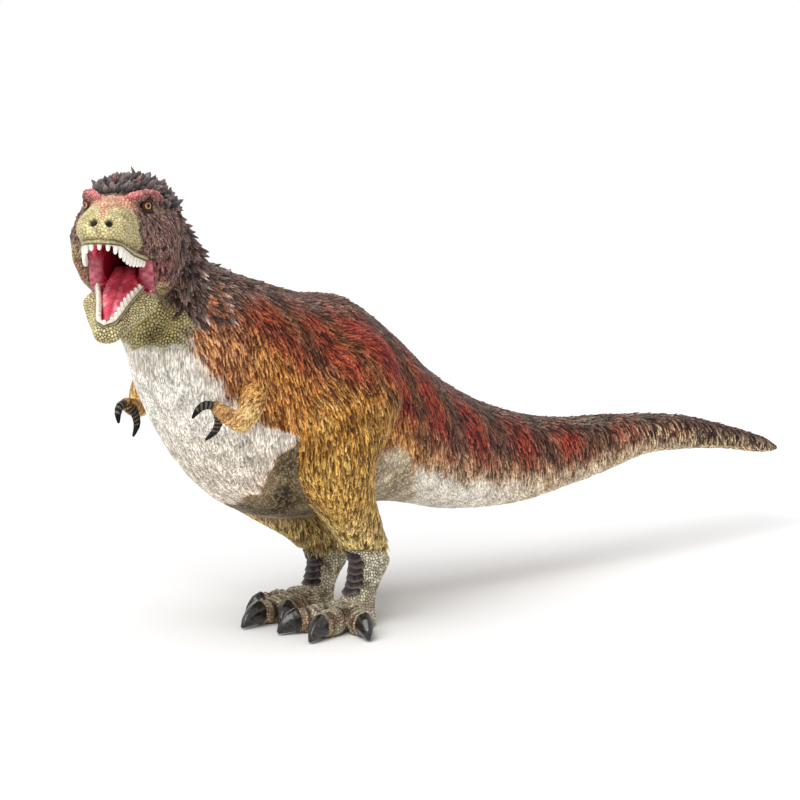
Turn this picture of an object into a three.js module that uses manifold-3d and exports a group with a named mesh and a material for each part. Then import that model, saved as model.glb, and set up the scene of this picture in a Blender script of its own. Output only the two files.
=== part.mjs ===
import * as THREE from 'three';
import { mergeVertices } from 'three/addons/utils/BufferGeometryUtils.js';
import Module from 'manifold-3d';

// A feathered dinosaur figure in painted vinyl, standing on two feet with its mouth open.
// The lower jaw hinges on two pins in the cheeks and each arm swivels on a shoulder peg.
// Millimetres, +Z up. The animal faces -Y, its own left side is +X, and its soles lie on Z = 0.

// Trunk and tail, one flowing form that is moulded as two trunk shells and a tail
const bodyLength = 314;
const backHeight = 124;
const bodyWidth = 53;
const torsoWall = 2.6;
const tailWall = 2.4;
const seam = 0.3;

// Neck and head
const headLength = 58;
const headHeight = 39;
const headWidth = 31;
const hingeOut = 4.4;
const hingeAlong = 77.0;
const hingeHeight = 125.1;
const headTurn = THREE.MathUtils.degToRad(39);
const headTilt = THREE.MathUtils.degToRad(10.6);
const mouthVaultDepth = 5.5;
const browRadius = 2.3;
const eyeRadius = 2.3;

// Lower jaw and its hinge: the gape at rest, the widest gape, and the cheek's cut below the lip
const jawLength = 40;
const jawWidth = 24;
const jawDepth = 8.5;
const jawRest = THREE.MathUtils.degToRad(33);
const jawStop = THREE.MathUtils.degToRad(37);
const chinAngle = THREE.MathUtils.degToRad(40);
const barrelRadius = 11.2;
const barrelWidth = 18.6;
const jawClearance = 0.5;
const jawPinRadius = 1.5;
const jawPinLength = 8;

// Gap around a pin or peg that turns in its bore
const runningClearance = 0.1;

// Teeth and tongue
const gumWidth = 2.2;
const gumHeight = 1.8;
const upperToothLength = 4.2;
const upperToothRadius = 1.05;
const lowerToothLength = 3.2;
const lowerToothRadius = 0.9;
const tongueWidth = 6.4;
const tongueThickness = 2.4;

// Gap around a piece that is glued in its socket
const fitClearance = 0.3;

// Arms and the flanged pegs that they swivel on, at a place along bodyLength and up backHeight
const shoulderAlongShare = 0.14331;
const shoulderHeightShare = 0.67742;
const armLength = 24;
const armRadius = 4.2;
const rightArmDrop = THREE.MathUtils.degToRad(20);
const fingerRadius = 1.25;
const shoulderPegRadius = 1.8;
const shoulderPegLength = 7;
const flangeRadius = 3.4;
const flangeThickness = 1.6;
const flangeDepth = 2.1;
const flangeGap = 0.65;

// Legs, ankles and feet
const legHeight = 98;
const thighDepth = 42;
const thighWidth = 24;
const hipPegRadius = 5;
const hipPegLength = 8;
const hipHeightShare = 0.857;
const leftAnkleHeight = 26.5;
const rightAnkleHeight = 22;
const ankleWidth = 12.4;
const ankleDepth = 14.6;
const anklePinRadius = 1.5;
const anklePinLength = 12;
const toeLength = 28;
const toeHeight = 9.6;
const toeWidth = 9.4;
const clawThickness = 6;

// Pegs that join the neck and the tail to the trunk, and how far each reaches into the neck or tail
const neckPlugRadius = 6;
const neckPlugLength = 13;
const neckPlugReach = 4;
const tailPlugRadius = 7.5;
const tailPlugLength = 24;
const tailPlugReach = 12;
const plugBore = 4;
const overrun = 1;

// Counts
const upperTeeth = 21;
const lowerTeeth = 19;
const bodySides = 22;
const hollowSides = 14;
const legSides = 16;
const headSides = 18;
const eyeSides = 10;
const mouthSides = 14;
const tongueSides = 12;
const limbSides = 9;
const fingerSides = 8;
const gumSides = 6;
const toothSides = 5;
const roundSides = 30;
const pegSides = 20;
const pinSides = 12;
const gumSteps = 14;
const curveSteps = 2;

// Outlines of the trunk and tail: place along and height of the back, the same for the belly,
// and half width, as shares of bodyLength, backHeight and half of bodyWidth
const hipAlongShare = 0.236;
const tailRootRow = 7;
const bodyRoundShare = 0.92;
const bodyShares = [
  [0.086, 1.0, 0.018, 0.722, 0.58],
  [0.118, 0.964, 0.034, 0.637, 0.76],
  [0.166, 0.923, 0.066, 0.506, 0.88],
  [0.22, 0.883, 0.113, 0.378, 0.95],
  [0.268, 0.867, 0.17, 0.307, 0.97],
  [0.304, 0.818, 0.242, 0.29, 0.93],
  [0.343, 0.745, 0.312, 0.3, 0.84],
  [0.383, 0.662, 0.373, 0.278, 0.72],
  [0.427, 0.593, 0.424, 0.246, 0.61],
  [0.49, 0.519, 0.489, 0.228, 0.5],
  [0.554, 0.468, 0.554, 0.224, 0.42],
  [0.618, 0.439, 0.618, 0.242, 0.35],
  [0.685, 0.427, 0.683, 0.263, 0.3],
  [0.752, 0.411, 0.752, 0.292, 0.24],
  [0.822, 0.387, 0.822, 0.287, 0.2],
  [0.895, 0.339, 0.895, 0.266, 0.15],
  [0.968, 0.281, 0.968, 0.233, 0.1],
  [1.0, 0.242, 1.0, 0.229, 0.03],
];

// Skull from the back of the head to the nose: place along, top, bottom and half width, as shares of
// headLength, headHeight and half of headWidth from the jaw hinge, and how much the top narrows
const skullRoundShare = 0.82;
const skullShares = [
  [-0.21, 0.62, -0.33, 0.92, 0.1],
  [-0.05, 0.66, -0.33, 1.04, 0.15],
  [0.1, 0.645, -0.3, 1.06, 0.25],
  [0.21, 0.575, -0.2, 1.0, 0.34],
  [0.31, 0.51, -0.05, 0.8, 0.34],
  [0.4, 0.465, -0.015, 0.67, 0.32],
  [0.52, 0.415, 0.02, 0.6, 0.34],
  [0.64, 0.355, 0.05, 0.53, 0.3],
  [0.72, 0.28, 0.07, 0.42, 0.2],
  [0.757, 0.21, 0.11, 0.27, 0.1],
];

// Brow ridges run back over the eyes: out, forward and up on the skull, and thickness of browRadius
const browShares = [
  [0.26, 0.47, 0.425, 0.5],
  [0.4, 0.4, 0.45, 0.85],
  [0.54, 0.31, 0.475, 1.0],
  [0.65, 0.22, 0.482, 0.95],
  [0.69, 0.14, 0.475, 0.6],
];
const eyeShares = [0.51, 0.315, 0.4];

// Roof of the mouth from the hinge to the front teeth: place along, half width and depth
const vaultShares = [
  [0.0, 0.95, 1.0],
  [0.35, 0.9, 1.0],
  [0.65, 0.72, 0.9],
  [0.88, 0.55, 0.7],
  [1.0, 0.25, 0.35],
];

// Lower jaw from the hinge to the chin: place along, top, bottom and half width, as shares of
// jawLength, jawDepth and half of jawWidth, and how much the top narrows
const jawShares = [
  [0.2, -0.12, -0.86, 0.74, 0.0],
  [0.3, -0.04, -0.98, 0.75, 0.1],
  [0.4, 0.0, -1.06, 0.96, 0.3],
  [0.54, 0.0, -1.02, 0.82, 0.36],
  [0.7, 0.0, -0.93, 0.64, 0.34],
  [0.86, 0.02, -0.86, 0.42, 0.25],
  [0.96, 0.0, -0.74, 0.3, 0.15],
  [1.0, -0.12, -0.55, 0.18, 0.0],
];
const troughShares = [
  [0.3, 0.42],
  [0.45, 0.36],
  [0.62, 0.26],
  [0.76, 0.18],
  [0.88, 0.1],
];
const troughDepthShare = 0.5;

// Throat opening in the front of the hinge barrel: place along, top and bottom as shares of
// barrelRadius, and half width as a share of half of barrelWidth
const gulletShares = [
  [-0.15, 0.83, -0.07, 0.27],
  [0.3, 1.01, -0.17, 0.45],
  [0.9, 1.1, -0.22, 0.6],
  [1.5, 1.15, -0.25, 0.66],
];

// Tongue: place along jawLength, height of jawDepth, width of tongueWidth, thickness
const tongueShares = [
  [0.34, -0.24, 0.75, 0.9],
  [0.46, -0.17, 1.0, 1.0],
  [0.58, -0.14, 0.85, 1.0],
  [0.7, -0.17, 0.6, 0.9],
  [0.78, -0.22, 0.34, 0.6],
];

// Half of each row of gums, from the corner of the mouth to the front: forward and out
const upperGumShares = [[0, 1], [0.24, 0.9], [0.48, 0.78], [0.7, 0.68], [0.87, 0.55], [0.97, 0.32], [1, 0]];
const lowerGumShares = [[0, 1], [0.24, 0.78], [0.48, 0.6], [0.7, 0.47], [0.87, 0.36], [0.97, 0.2], [1, 0]];
const upperGumStartShare = 0.33;
const upperGumEndShare = 0.725;
const upperGumWidthShare = 0.57;
const upperLipBaseShare = -0.005;
const upperLipRiseShare = 0.085;
const lowerGumStartShare = 0.38;
const lowerGumEndShare = 0.955;
const lowerGumWidthShare = 0.56;
const lowerLipShare = -0.02;
const gumRoundShare = 0.6;

// A blunt tooth from its root to its tip: radius and height, and the least size in each row
const toothShares = [[0, 0], [0.95, 0], [0.6, 0.85], [0, 1]];
const smallestToothShare = 0.66;

// Arms: out, forward and up from the shoulder as shares of armLength, and thickness of armRadius
const armShares = [
  [0.15, 0.0, 0.0, 0.68],
  [0.26, 0.02, -0.03, 1.0],
  [0.32, 0.16, -0.2, 0.95],
  [0.31, 0.29, -0.35, 0.85],
  [0.22, 0.45, -0.25, 0.66],
  [0.15, 0.57, -0.14, 0.5],
  [0.13, 0.62, -0.12, 0.3],
];
const fingerShares = [
  [[0.15, 0.57, -0.13], [0.1, 0.7, -0.1], [0.06, 0.8, -0.16], [0.02, 0.86, -0.27]],
  [[0.14, 0.56, -0.15], [0.12, 0.5, -0.31], [0.09, 0.54, -0.46], [0.06, 0.68, -0.56]],
];
const fingerTaperShares = [1, 1, 0.8, 0.28];

// Horizontal slices down a leg: height from the ankle to legHeight, distance out as a share of
// bodyWidth and behind the hips of legHeight, half width and depth of half thighWidth and thighDepth
const legRoundShare = 0.95;
const leftLegShares = [
  [1.0, 0.32, 0.03, 0.3, 0.28],
  [0.945, 0.331, 0.026, 0.68, 0.6],
  [0.83, 0.359, 0.01, 0.9, 0.88],
  [0.68, 0.396, -0.02, 1.0, 1.0],
  [0.55, 0.425, -0.061, 0.97, 0.9],
  [0.44, 0.435, -0.092, 0.9, 0.74],
  [0.33, 0.422, -0.077, 0.8, 0.62],
  [0.217, 0.386, -0.026, 0.7, 0.53],
  [0.105, 0.351, 0.041, 0.6, 0.45],
  [0.0, 0.32, 0.092, 0.53, 0.4],
];
const rightLegShares = [
  [1.0, 0.32, 0.03, 0.3, 0.28],
  [0.947, 0.331, 0.026, 0.68, 0.6],
  [0.842, 0.359, 0.01, 0.9, 0.88],
  [0.697, 0.396, -0.01, 1.0, 0.98],
  [0.526, 0.425, -0.046, 0.95, 0.88],
  [0.368, 0.435, -0.066, 0.88, 0.76],
  [0.25, 0.41, -0.045, 0.78, 0.68],
  [0.145, 0.333, 0.048, 0.66, 0.6],
  [0.053, 0.244, 0.125, 0.56, 0.46],
  [0.0, 0.203, 0.153, 0.53, 0.4],
];

// Slices down an ankle to the sole: height, drift inward and forward as shares of the ankle height,
// half width and half depth as shares of half of ankleWidth and ankleDepth
const leftFootShares = [
  [1.0, 0.0, 0.0, 0.93, 0.93],
  [0.82, 0.01, -0.11, 1.0, 1.0],
  [0.58, 0.05, -0.06, 0.86, 0.8],
  [0.4, 0.08, 0.0, 0.87, 0.78],
  [0.23, 0.1, 0.09, 1.1, 1.02],
  [0.1, 0.1, 0.12, 1.28, 1.16],
  [0.0, 0.1, 0.12, 1.2, 1.08],
];
const rightFootShares = [
  [1.0, 0.0, 0.0, 0.93, 0.93],
  [0.8, 0.0, -0.17, 1.0, 1.0],
  [0.58, 0.0, -0.07, 0.86, 0.82],
  [0.4, 0.02, 0.05, 0.87, 0.8],
  [0.25, 0.03, 0.18, 1.1, 1.04],
  [0.12, 0.03, 0.24, 1.28, 1.18],
  [0.0, 0.03, 0.24, 1.2, 1.1],
];

// Toes: degrees from straight ahead toward the outside, and length as a share of toeLength
const leftToeShares = [[-15, 0.95], [19, 1.0], [61, 0.82]];
const rightToeShares = [[-25, 0.89], [-6, 1.17], [24, 0.78]];

// A toe and its claw from the side: place along, height of the middle, half width and half height,
// as shares of the toe's length, toeHeight, and toeWidth and toeHeight or clawThickness
const toeShares = [
  [0.0, 0.45, 0.5, 0.52],
  [0.24, 0.46, 0.5, 0.54],
  [0.36, 0.42, 0.42, 0.47],
  [0.5, 0.44, 0.47, 0.5],
  [0.62, 0.41, 0.4, 0.44],
  [0.72, 0.4, 0.3, 0.32],
];
const clawShares = [
  [0.6, 0.46, 0.42, 0.62],
  [0.72, 0.47, 0.5, 0.66],
  [0.84, 0.4, 0.4, 0.52],
  [0.94, 0.24, 0.24, 0.3],
  [1.0, 0.1, 0.08, 0.08],
];

const vector = (x, y, z) => new THREE.Vector3(x, y, z);
const sideways = vector(1, 0, 0);

const wasm = await Module();
wasm.setup();

function solidOf(geometry) {
  const bare = geometry.clone();
  bare.deleteAttribute('normal');
  bare.deleteAttribute('uv');
  const merged = mergeVertices(bare);
  return new wasm.Manifold(new wasm.Mesh({
    numProp: 3,
    vertProperties: new Float32Array(merged.attributes.position.array),
    triVerts: new Uint32Array(merged.index.array),
  }));
}

function geometryOf(solid) {
  const { vertProperties, numProp, triVerts } = solid.getMesh();
  const geometry = new THREE.BufferGeometry();
  geometry.setAttribute('position', new THREE.BufferAttribute(new Float32Array(vertProperties), numProp));
  geometry.setIndex(new THREE.BufferAttribute(new Uint32Array(triVerts), 1));
  return geometry;
}

const placed = (solid, matrix) => solidOf(geometryOf(solid).applyMatrix4(matrix));
const joined = (first, others) => others.reduce((sum, solid) => sum.add(solid), first);
const cutBy = (first, others) => others.reduce((rest, solid) => rest.subtract(solid), first);

// A cross-section of a form, upright between two places: how far it reaches along its directions,
// how square it is (round at 1) and how much its top narrows
function section(top, bottom, half, roundness, taper = 0) {
  return {
    centre: top.clone().lerp(bottom, 1 / 2),
    across: sideways.clone(),
    up: top.clone().sub(bottom).normalize(),
    half,
    rise: top.distanceTo(bottom) / 2,
    roundness,
    taper,
  };
}

const numbersOf = (s) => [
  ...s.centre.toArray(), ...s.across.toArray(), ...s.up.toArray(), s.half, s.rise, s.roundness, s.taper,
];

function sectionOf([cx, cy, cz, ax, ay, az, ux, uy, uz, half, rise, roundness, taper]) {
  const across = vector(ax, ay, az).normalize();
  const up = vector(ux, uy, uz).normalize();
  return { centre: vector(cx, cy, cz), across, up, half, rise, roundness, taper };
}

// Extra sections between the given ones, on smooth curves through them
function smoothed(sections, steps = curveSteps) {
  const rows = sections.map(numbersOf);
  const row = (i) => rows[Math.min(Math.max(i, 0), rows.length - 1)];
  const result = [];
  for (let i = 0; i < rows.length - 1; i += 1) {
    const [a, b, c, d] = [row(i - 1), row(i), row(i + 1), row(i + 2)];
    for (let k = 0; k < steps; k += 1) {
      const t = k / steps;
      result.push(sectionOf(b.map((value, j) => {
        const slopeIn = (c[j] - a[j]) / 2;
        const slopeOut = (d[j] - value) / 2;
        const cubic = 2 * (value - c[j]) + slopeIn + slopeOut;
        const square = 3 * (c[j] - value) - 2 * slopeIn - slopeOut;
        return value + t * (slopeIn + t * (square + t * cubic));
      })));
    }
  }
  result.push(sectionOf(rows[rows.length - 1]));
  return result;
}

function ringOf(s, sides, grow) {
  const bend = (value) => Math.sign(value) * Math.abs(value) ** s.roundness;
  return Array.from({ length: sides }, (_, i) => {
    const angle = (2 * Math.PI * i) / sides;
    const narrowed = 1 - s.taper * Math.max(0, Math.sin(angle));
    return s.centre.clone()
      .addScaledVector(s.across, bend(Math.cos(angle)) * narrowed * (s.half + grow))
      .addScaledVector(s.up, bend(Math.sin(angle)) * (s.rise + grow));
  });
}

// A closed skin over rings of equal count, with a fan over each end
function skinOver(rings) {
  const sides = rings[0].length;
  const middle = (ring) => ring.reduce((sum, p) => sum.add(p), vector(0, 0, 0)).divideScalar(sides);
  const points = rings.flat();
  const startCap = points.length;
  const endCap = startCap + 1;
  points.push(middle(rings[0]), middle(rings[rings.length - 1]));
  const faces = [];
  const last = (rings.length - 1) * sides;
  for (let i = 0; i < sides; i += 1) {
    const j = (i + 1) % sides;
    for (let near = 0; near < last; near += sides) {
      const far = near + sides;
      faces.push(near + i, near + j, far + j, near + i, far + j, far + i);
    }
    faces.push(startCap, j, i, endCap, last + i, last + j);
  }
  let volume = 0;
  for (let f = 0; f < faces.length; f += 3) {
    const [a, b, c] = faces.slice(f, f + 3).map((corner) => points[corner]);
    volume += a.dot(b.clone().cross(c));
  }
  if (volume < 0) faces.reverse();
  const geometry = new THREE.BufferGeometry();
  geometry.setAttribute('position', new THREE.Float32BufferAttribute(points.flatMap((p) => p.toArray()), 3));
  geometry.setIndex(faces);
  return geometry;
}

// A form over its sections, grown outward by a clearance or drawn inward by a wall
function form(sections, sides, grow = 0) {
  const list = sections.map((s) => ({ ...s, centre: s.centre.clone() }));
  for (const [end, next] of [[0, 1], [list.length - 1, list.length - 2]]) {
    const outward = sections[end].centre.clone().sub(sections[next].centre).normalize();
    list[end].centre.addScaledVector(outward, grow);
  }
  return solidOf(skinOver(list.map((s) => ringOf(s, sides, grow))));
}

// Sections of a round or flattened limb along a path of places
function along(places, halves, rises, roundness = 1) {
  return places.map((place, i) => {
    const from = places[Math.max(i - 1, 0)];
    const to = places[Math.min(i + 1, places.length - 1)];
    const forward = to.clone().sub(from).normalize();
    const upward = Math.abs(forward.z) > Math.SQRT1_2 ? vector(0, -1, 0) : vector(0, 0, 1);
    const across = forward.clone().cross(upward).normalize();
    const up = across.clone().cross(forward).normalize();
    return { centre: place.clone(), across, up, half: halves[i], rise: rises[i], roundness, taper: 0 };
  });
}

// Level slices of a leg or an ankle
const slice = (centre, half, rise, roundness) => ({
  centre, across: sideways.clone(), up: vector(0, 1, 0), half, rise, roundness, taper: 0,
});

const movedSection = (s, matrix) => ({
  ...s,
  centre: s.centre.clone().applyMatrix4(matrix),
  across: s.across.clone().transformDirection(matrix),
  up: s.up.clone().transformDirection(matrix),
});

const block = (centre, width, depth, height) => solidOf(
  new THREE.BoxGeometry(width, depth, height).translate(centre.x, centre.y, centre.z));

const ball = (centre, radius) => solidOf(
  new THREE.SphereGeometry(radius, eyeSides, fingerSides).translate(centre.x, centre.y, centre.z));

// A round bar between two places
function bar(from, to, radius, sides = pegSides) {
  const turn = new THREE.Quaternion().setFromUnitVectors(vector(0, 1, 0), to.clone().sub(from).normalize());
  const centre = from.clone().lerp(to, 1 / 2);
  const geometry = new THREE.CylinderGeometry(radius, radius, from.distanceTo(to), sides);
  return solidOf(geometry.applyQuaternion(turn).translate(centre.x, centre.y, centre.z));
}

// The same bar longer at both ends, as a bore or a socket
function bore(from, to, radius, extra, sides = pegSides) {
  const reach = to.clone().sub(from).setLength(extra);
  return bar(from.clone().sub(reach), to.clone().add(reach), radius, sides);
}

// A side-view outline, with x forward and y up, made as wide as asked about the middle of the head
function sideSlab(shape, width) {
  const options = { depth: width, bevelEnabled: false, curveSegments: pegSides };
  const geometry = new THREE.ExtrudeGeometry(shape, options);
  const basis = new THREE.Matrix4().makeBasis(vector(0, -1, 0), vector(0, 0, 1), vector(-1, 0, 0));
  return solidOf(geometry.translate(0, 0, -width / 2).applyMatrix4(basis));
}

// The figure, and the nested groups that turn and tilt the head and open the jaw
const figure = new THREE.Group();
const headGroup = new THREE.Group();
headGroup.position.set(hingeOut, -hingeAlong, hingeHeight);
headGroup.rotation.z = headTurn;
const skullGroup = new THREE.Group();
skullGroup.rotation.x = -headTilt;
const jawGroup = new THREE.Group();
jawGroup.rotation.x = jawRest;
figure.add(headGroup);
headGroup.add(skullGroup);
skullGroup.add(jawGroup);
figure.updateMatrixWorld(true);
const skullMatrix = skullGroup.matrixWorld.clone();
const jawMatrix = jawGroup.matrixWorld.clone();

const paints = {
  plumage: { color: 0x8a4a24, roughness: 0.8, metalness: 0 },
  tailPlumage: { color: 0x8c3f26, roughness: 0.8, metalness: 0 },
  legPlumage: { color: 0xa8712c, roughness: 0.8, metalness: 0 },
  headSkin: { color: 0x5b4640, roughness: 0.7, metalness: 0 },
  jawSkin: { color: 0x9a9468, roughness: 0.65, metalness: 0 },
  footSkin: { color: 0x6b6250, roughness: 0.6, metalness: 0 },
  armSkin: { color: 0x9b7436, roughness: 0.7, metalness: 0 },
  mouth: { color: 0xb0203a, roughness: 0.25, metalness: 0 },
  ivory: { color: 0xefe9d6, roughness: 0.35, metalness: 0 },
  eye: { color: 0xb5651d, roughness: 0.1, metalness: 0 },
  plastic: { color: 0x3a3a3c, roughness: 0.6, metalness: 0 },
  steel: { color: 0xb8bcc0, roughness: 0.3, metalness: 1 },
};

// The same skin with corners that lie on each other joined, less the triangles that this flattens
function welded(geometry) {
  const merged = mergeVertices(geometry);
  const corners = Array.from(merged.index.array);
  const kept = [];
  for (let i = 0; i < corners.length; i += 3) {
    const triangle = corners.slice(i, i + 3);
    if (new Set(triangle).size === triangle.length) kept.push(...triangle);
  }
  merged.setIndex(kept);
  return merged;
}

function addPiece(name, solid, paint, group = figure) {
  const geometry = welded(geometryOf(solid)).applyMatrix4(group.matrixWorld.clone().invert());
  geometry.computeVertexNormals();
  const mesh = new THREE.Mesh(geometry, new THREE.MeshStandardMaterial(paints[paint]));
  mesh.name = name;
  group.add(mesh);
}

// Trunk and tail
const bodyPlace = (share, height) => vector(0, (share - hipAlongShare) * bodyLength, height * backHeight);
const bodySections = smoothed(bodyShares.map(([backAlong, back, bellyAlong, belly, width]) => section(
  bodyPlace(backAlong, back), bodyPlace(bellyAlong, belly), (width * bodyWidth) / 2, bodyRoundShare)));
const torsoSections = bodySections.slice(0, tailRootRow * curveSteps + 1);
const tailRootSections = bodySections.slice(tailRootRow * curveSteps);
const neckBase = torsoSections[0];
const tailRoot = tailRootSections[0];
const outOfNeck = neckBase.centre.clone().sub(torsoSections[1].centre).normalize();
const outOfTail = tailRootSections[1].centre.clone().sub(tailRoot.centre).normalize();

const shiftedSection = (s, direction, distance) => ({
  ...s, centre: s.centre.clone().addScaledVector(direction, distance),
});
const plugEnds = (end, outward, length, reach) => [reach - length, reach].map(
  (distance) => end.centre.clone().addScaledVector(outward, distance));
const neckPlugEnds = plugEnds(neckBase, outOfNeck, neckPlugLength, neckPlugReach);
const tailPlugEnds = plugEnds(tailRoot, outOfTail, tailPlugLength, tailPlugReach);
const hipHeight = hipHeightShare * legHeight;
const shoulderAxis = vector(0, -shoulderAlongShare * bodyLength, shoulderHeightShare * backHeight);
const torsoHollow = form(torsoSections, hollowSides, -torsoWall);
const neckSocket = bore(...neckPlugEnds, neckPlugRadius + fitClearance, fitClearance);
const tailSocket = bore(...tailPlugEnds, tailPlugRadius + fitClearance, fitClearance);

function torsoShells() {
  const holes = [-1, 1].flatMap((side) => [
    [vector(0, 0, hipHeight), hipPegRadius + fitClearance],
    [shoulderAxis, shoulderPegRadius + runningClearance],
  ].map(([middle, radius]) => bar(middle, middle.clone().setX(side * bodyWidth), radius)));
  const trunk = cutBy(form(torsoSections, bodySides), [torsoHollow, neckSocket, tailSocket, ...holes]);
  for (const [name, side] of [['torso_left_shell', 1], ['torso_right_shell', -1]]) {
    const centre = vector(side * (bodyWidth + seam / 2), 0, backHeight / 2);
    addPiece(name, trunk.intersect(block(centre, 2 * bodyWidth, 2 * bodyLength, 2 * backHeight)), 'plumage');
  }
}

function plug(name, ends, radius) {
  addPiece(name, bar(...ends, radius).subtract(bore(...ends, plugBore, overrun)), 'plastic');
}

function tail() {
  const sections = tailRootSections.map((s) => shiftedSection(s, outOfTail, seam));
  const hollow = sections.slice(0, Math.ceil(sections.length / 2));
  const cuts = [form(hollow, hollowSides, -tailWall), tailSocket];
  addPiece('tail', cutBy(form(sections, bodySides), cuts), 'tailPlumage');
}

// Head, in places measured out, forward and up from the jaw hinge
const headPlace = (out, forward, up) => vector((out * headWidth) / 2, -forward * headLength, up * headHeight);
const skullSections = smoothed(skullShares.map(([place, top, bottom, width, taper]) => section(
  headPlace(0, place, top), headPlace(0, place, bottom), (width * headWidth) / 2, skullRoundShare, taper)))
  .map((s) => movedSection(s, skullMatrix));
const neckSections = smoothed(
  [shiftedSection(neckBase, outOfNeck, seam), skullSections[0], skullSections[curveSteps]], curveSteps + 1);
const onSkull = ([out, forward, up], side) => headPlace(side * out, forward, up).applyMatrix4(skullMatrix);
const hingeSpan = (from, to) => [from, to].map((out) => vector(out, 0, 0).applyMatrix4(skullMatrix));

// The wedge, seen from the side, that the jaw sweeps from the upper lip to its widest gape
function jawSweep() {
  const shape = new THREE.Shape();
  shape.absarc(0, 0, barrelRadius + jawClearance, 0, -(jawStop + chinAngle), true);
  shape.absarc(0, 0, headLength, -(jawStop + chinAngle), 0, false);
  return placed(sideSlab(shape, 2 * headWidth), skullMatrix);
}

function mouthVault() {
  const half = (upperGumWidthShare * headWidth) / 2 - gumWidth;
  const start = barrelRadius / 2;
  const end = upperGumEndShare * headLength - gumWidth;
  const sections = vaultShares.map(([share, width, depth]) => {
    const roof = vector(0, -(start + (end - start) * share), depth * mouthVaultDepth);
    return section(roof, roof.clone().setZ(-mouthVaultDepth), half * width, skullRoundShare);
  });
  return placed(form(smoothed(sections), mouthSides), skullMatrix);
}

function brow(side) {
  const places = browShares.map((row) => onSkull(row, side));
  const radii = browShares.map((row) => row[3] * browRadius);
  return form(smoothed(along(places, radii, radii)), fingerSides);
}

// U-shaped line of the gums, from one mouth corner round the front to the other
function gumLine(shares, width, start, end, heightAt) {
  const half = shares.map(([forward, out]) => vector(
    (out * width) / 2, -(start + (end - start) * forward), heightAt(forward)));
  const mirrored = half.slice(0, -1).reverse().map((p) => p.clone().setX(-p.x));
  return new THREE.CatmullRomCurve3([...half, ...mirrored]);
}

const upperLip = (share) => (upperLipBaseShare + upperLipRiseShare * share * share) * headHeight;
const upperGums = gumLine(upperGumShares, upperGumWidthShare * headWidth,
  upperGumStartShare * headLength, upperGumEndShare * headLength, upperLip);
const lowerGums = gumLine(lowerGumShares, lowerGumWidthShare * jawWidth, lowerGumStartShare * jawLength,
  lowerGumEndShare * jawLength, () => lowerLipShare * jawDepth);

function gumBar(line, grow = 0) {
  const places = line.getSpacedPoints(gumSteps);
  const halves = places.map(() => gumWidth / 2);
  const rises = places.map(() => gumHeight / 2);
  const sections = along(places, halves, rises, gumRoundShare);
  return form(sections, gumSides, grow);
}

// Teeth grow from the gums, longest halfway back, and point down at -1 or up at 1
function toothRow(line, count, length, radius, direction) {
  const teeth = Array.from({ length: count }, (_, i) => {
    const place = line.getPointAt((i + 1 / 2) / count);
    const back = Math.abs((2 * i + 1) / count - 1);
    const size = smallestToothShare + (1 - smallestToothShare) * Math.sin(Math.PI * back) ** 2;
    const profile = toothShares.map(([out, up]) => new THREE.Vector2(out * radius, up * size * length));
    const tooth = new THREE.LatheGeometry(profile, toothSides).rotateX((direction * Math.PI) / 2);
    return solidOf(tooth.translate(place.x, place.y, place.z));
  });
  return joined(gumBar(line), teeth);
}

function head() {
  const pocket = barrelWidth / 2 + jawClearance;
  const cuts = [
    jawSweep(),
    bar(...hingeSpan(-pocket, pocket), barrelRadius + 2 * jawClearance, roundSides),
    mouthVault(),
    placed(gumBar(upperGums, fitClearance), skullMatrix),
    neckSocket,
  ];
  for (const side of [-1, 1]) {
    const pinEnd = side * (barrelWidth / 2 + jawPinLength / 2 + runningClearance);
    cuts.push(bar(...hingeSpan(0, pinEnd), jawPinRadius + runningClearance, pinSides));
    cuts.push(ball(onSkull(eyeShares, side), eyeRadius + fitClearance));
  }
  const skin = joined(form(skullSections, headSides), [form(neckSections, headSides), brow(1), brow(-1)]);
  addPiece('head', cutBy(skin, cuts), 'headSkin', skullGroup);
  const teeth = toothRow(upperGums, upperTeeth, upperToothLength, upperToothRadius, -1);
  addPiece('upper_teeth', placed(teeth, skullMatrix), 'ivory', skullGroup);
  for (const [name, side] of [['left', 1], ['right', -1]]) {
    const middle = (side * barrelWidth) / 2;
    const ends = hingeSpan(middle - jawPinLength / 2, middle + jawPinLength / 2);
    addPiece(`${name}_jaw_pin`, bar(...ends, jawPinRadius, pinSides), 'steel', skullGroup);
    addPiece(`${name}_eye`, ball(onSkull(eyeShares, side), eyeRadius), 'eye', skullGroup);
  }
}

// Lower jaw, built closed about the hinge and then opened
const jawPlace = (forward, up) => vector(0, -forward * jawLength, up * jawDepth);

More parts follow.
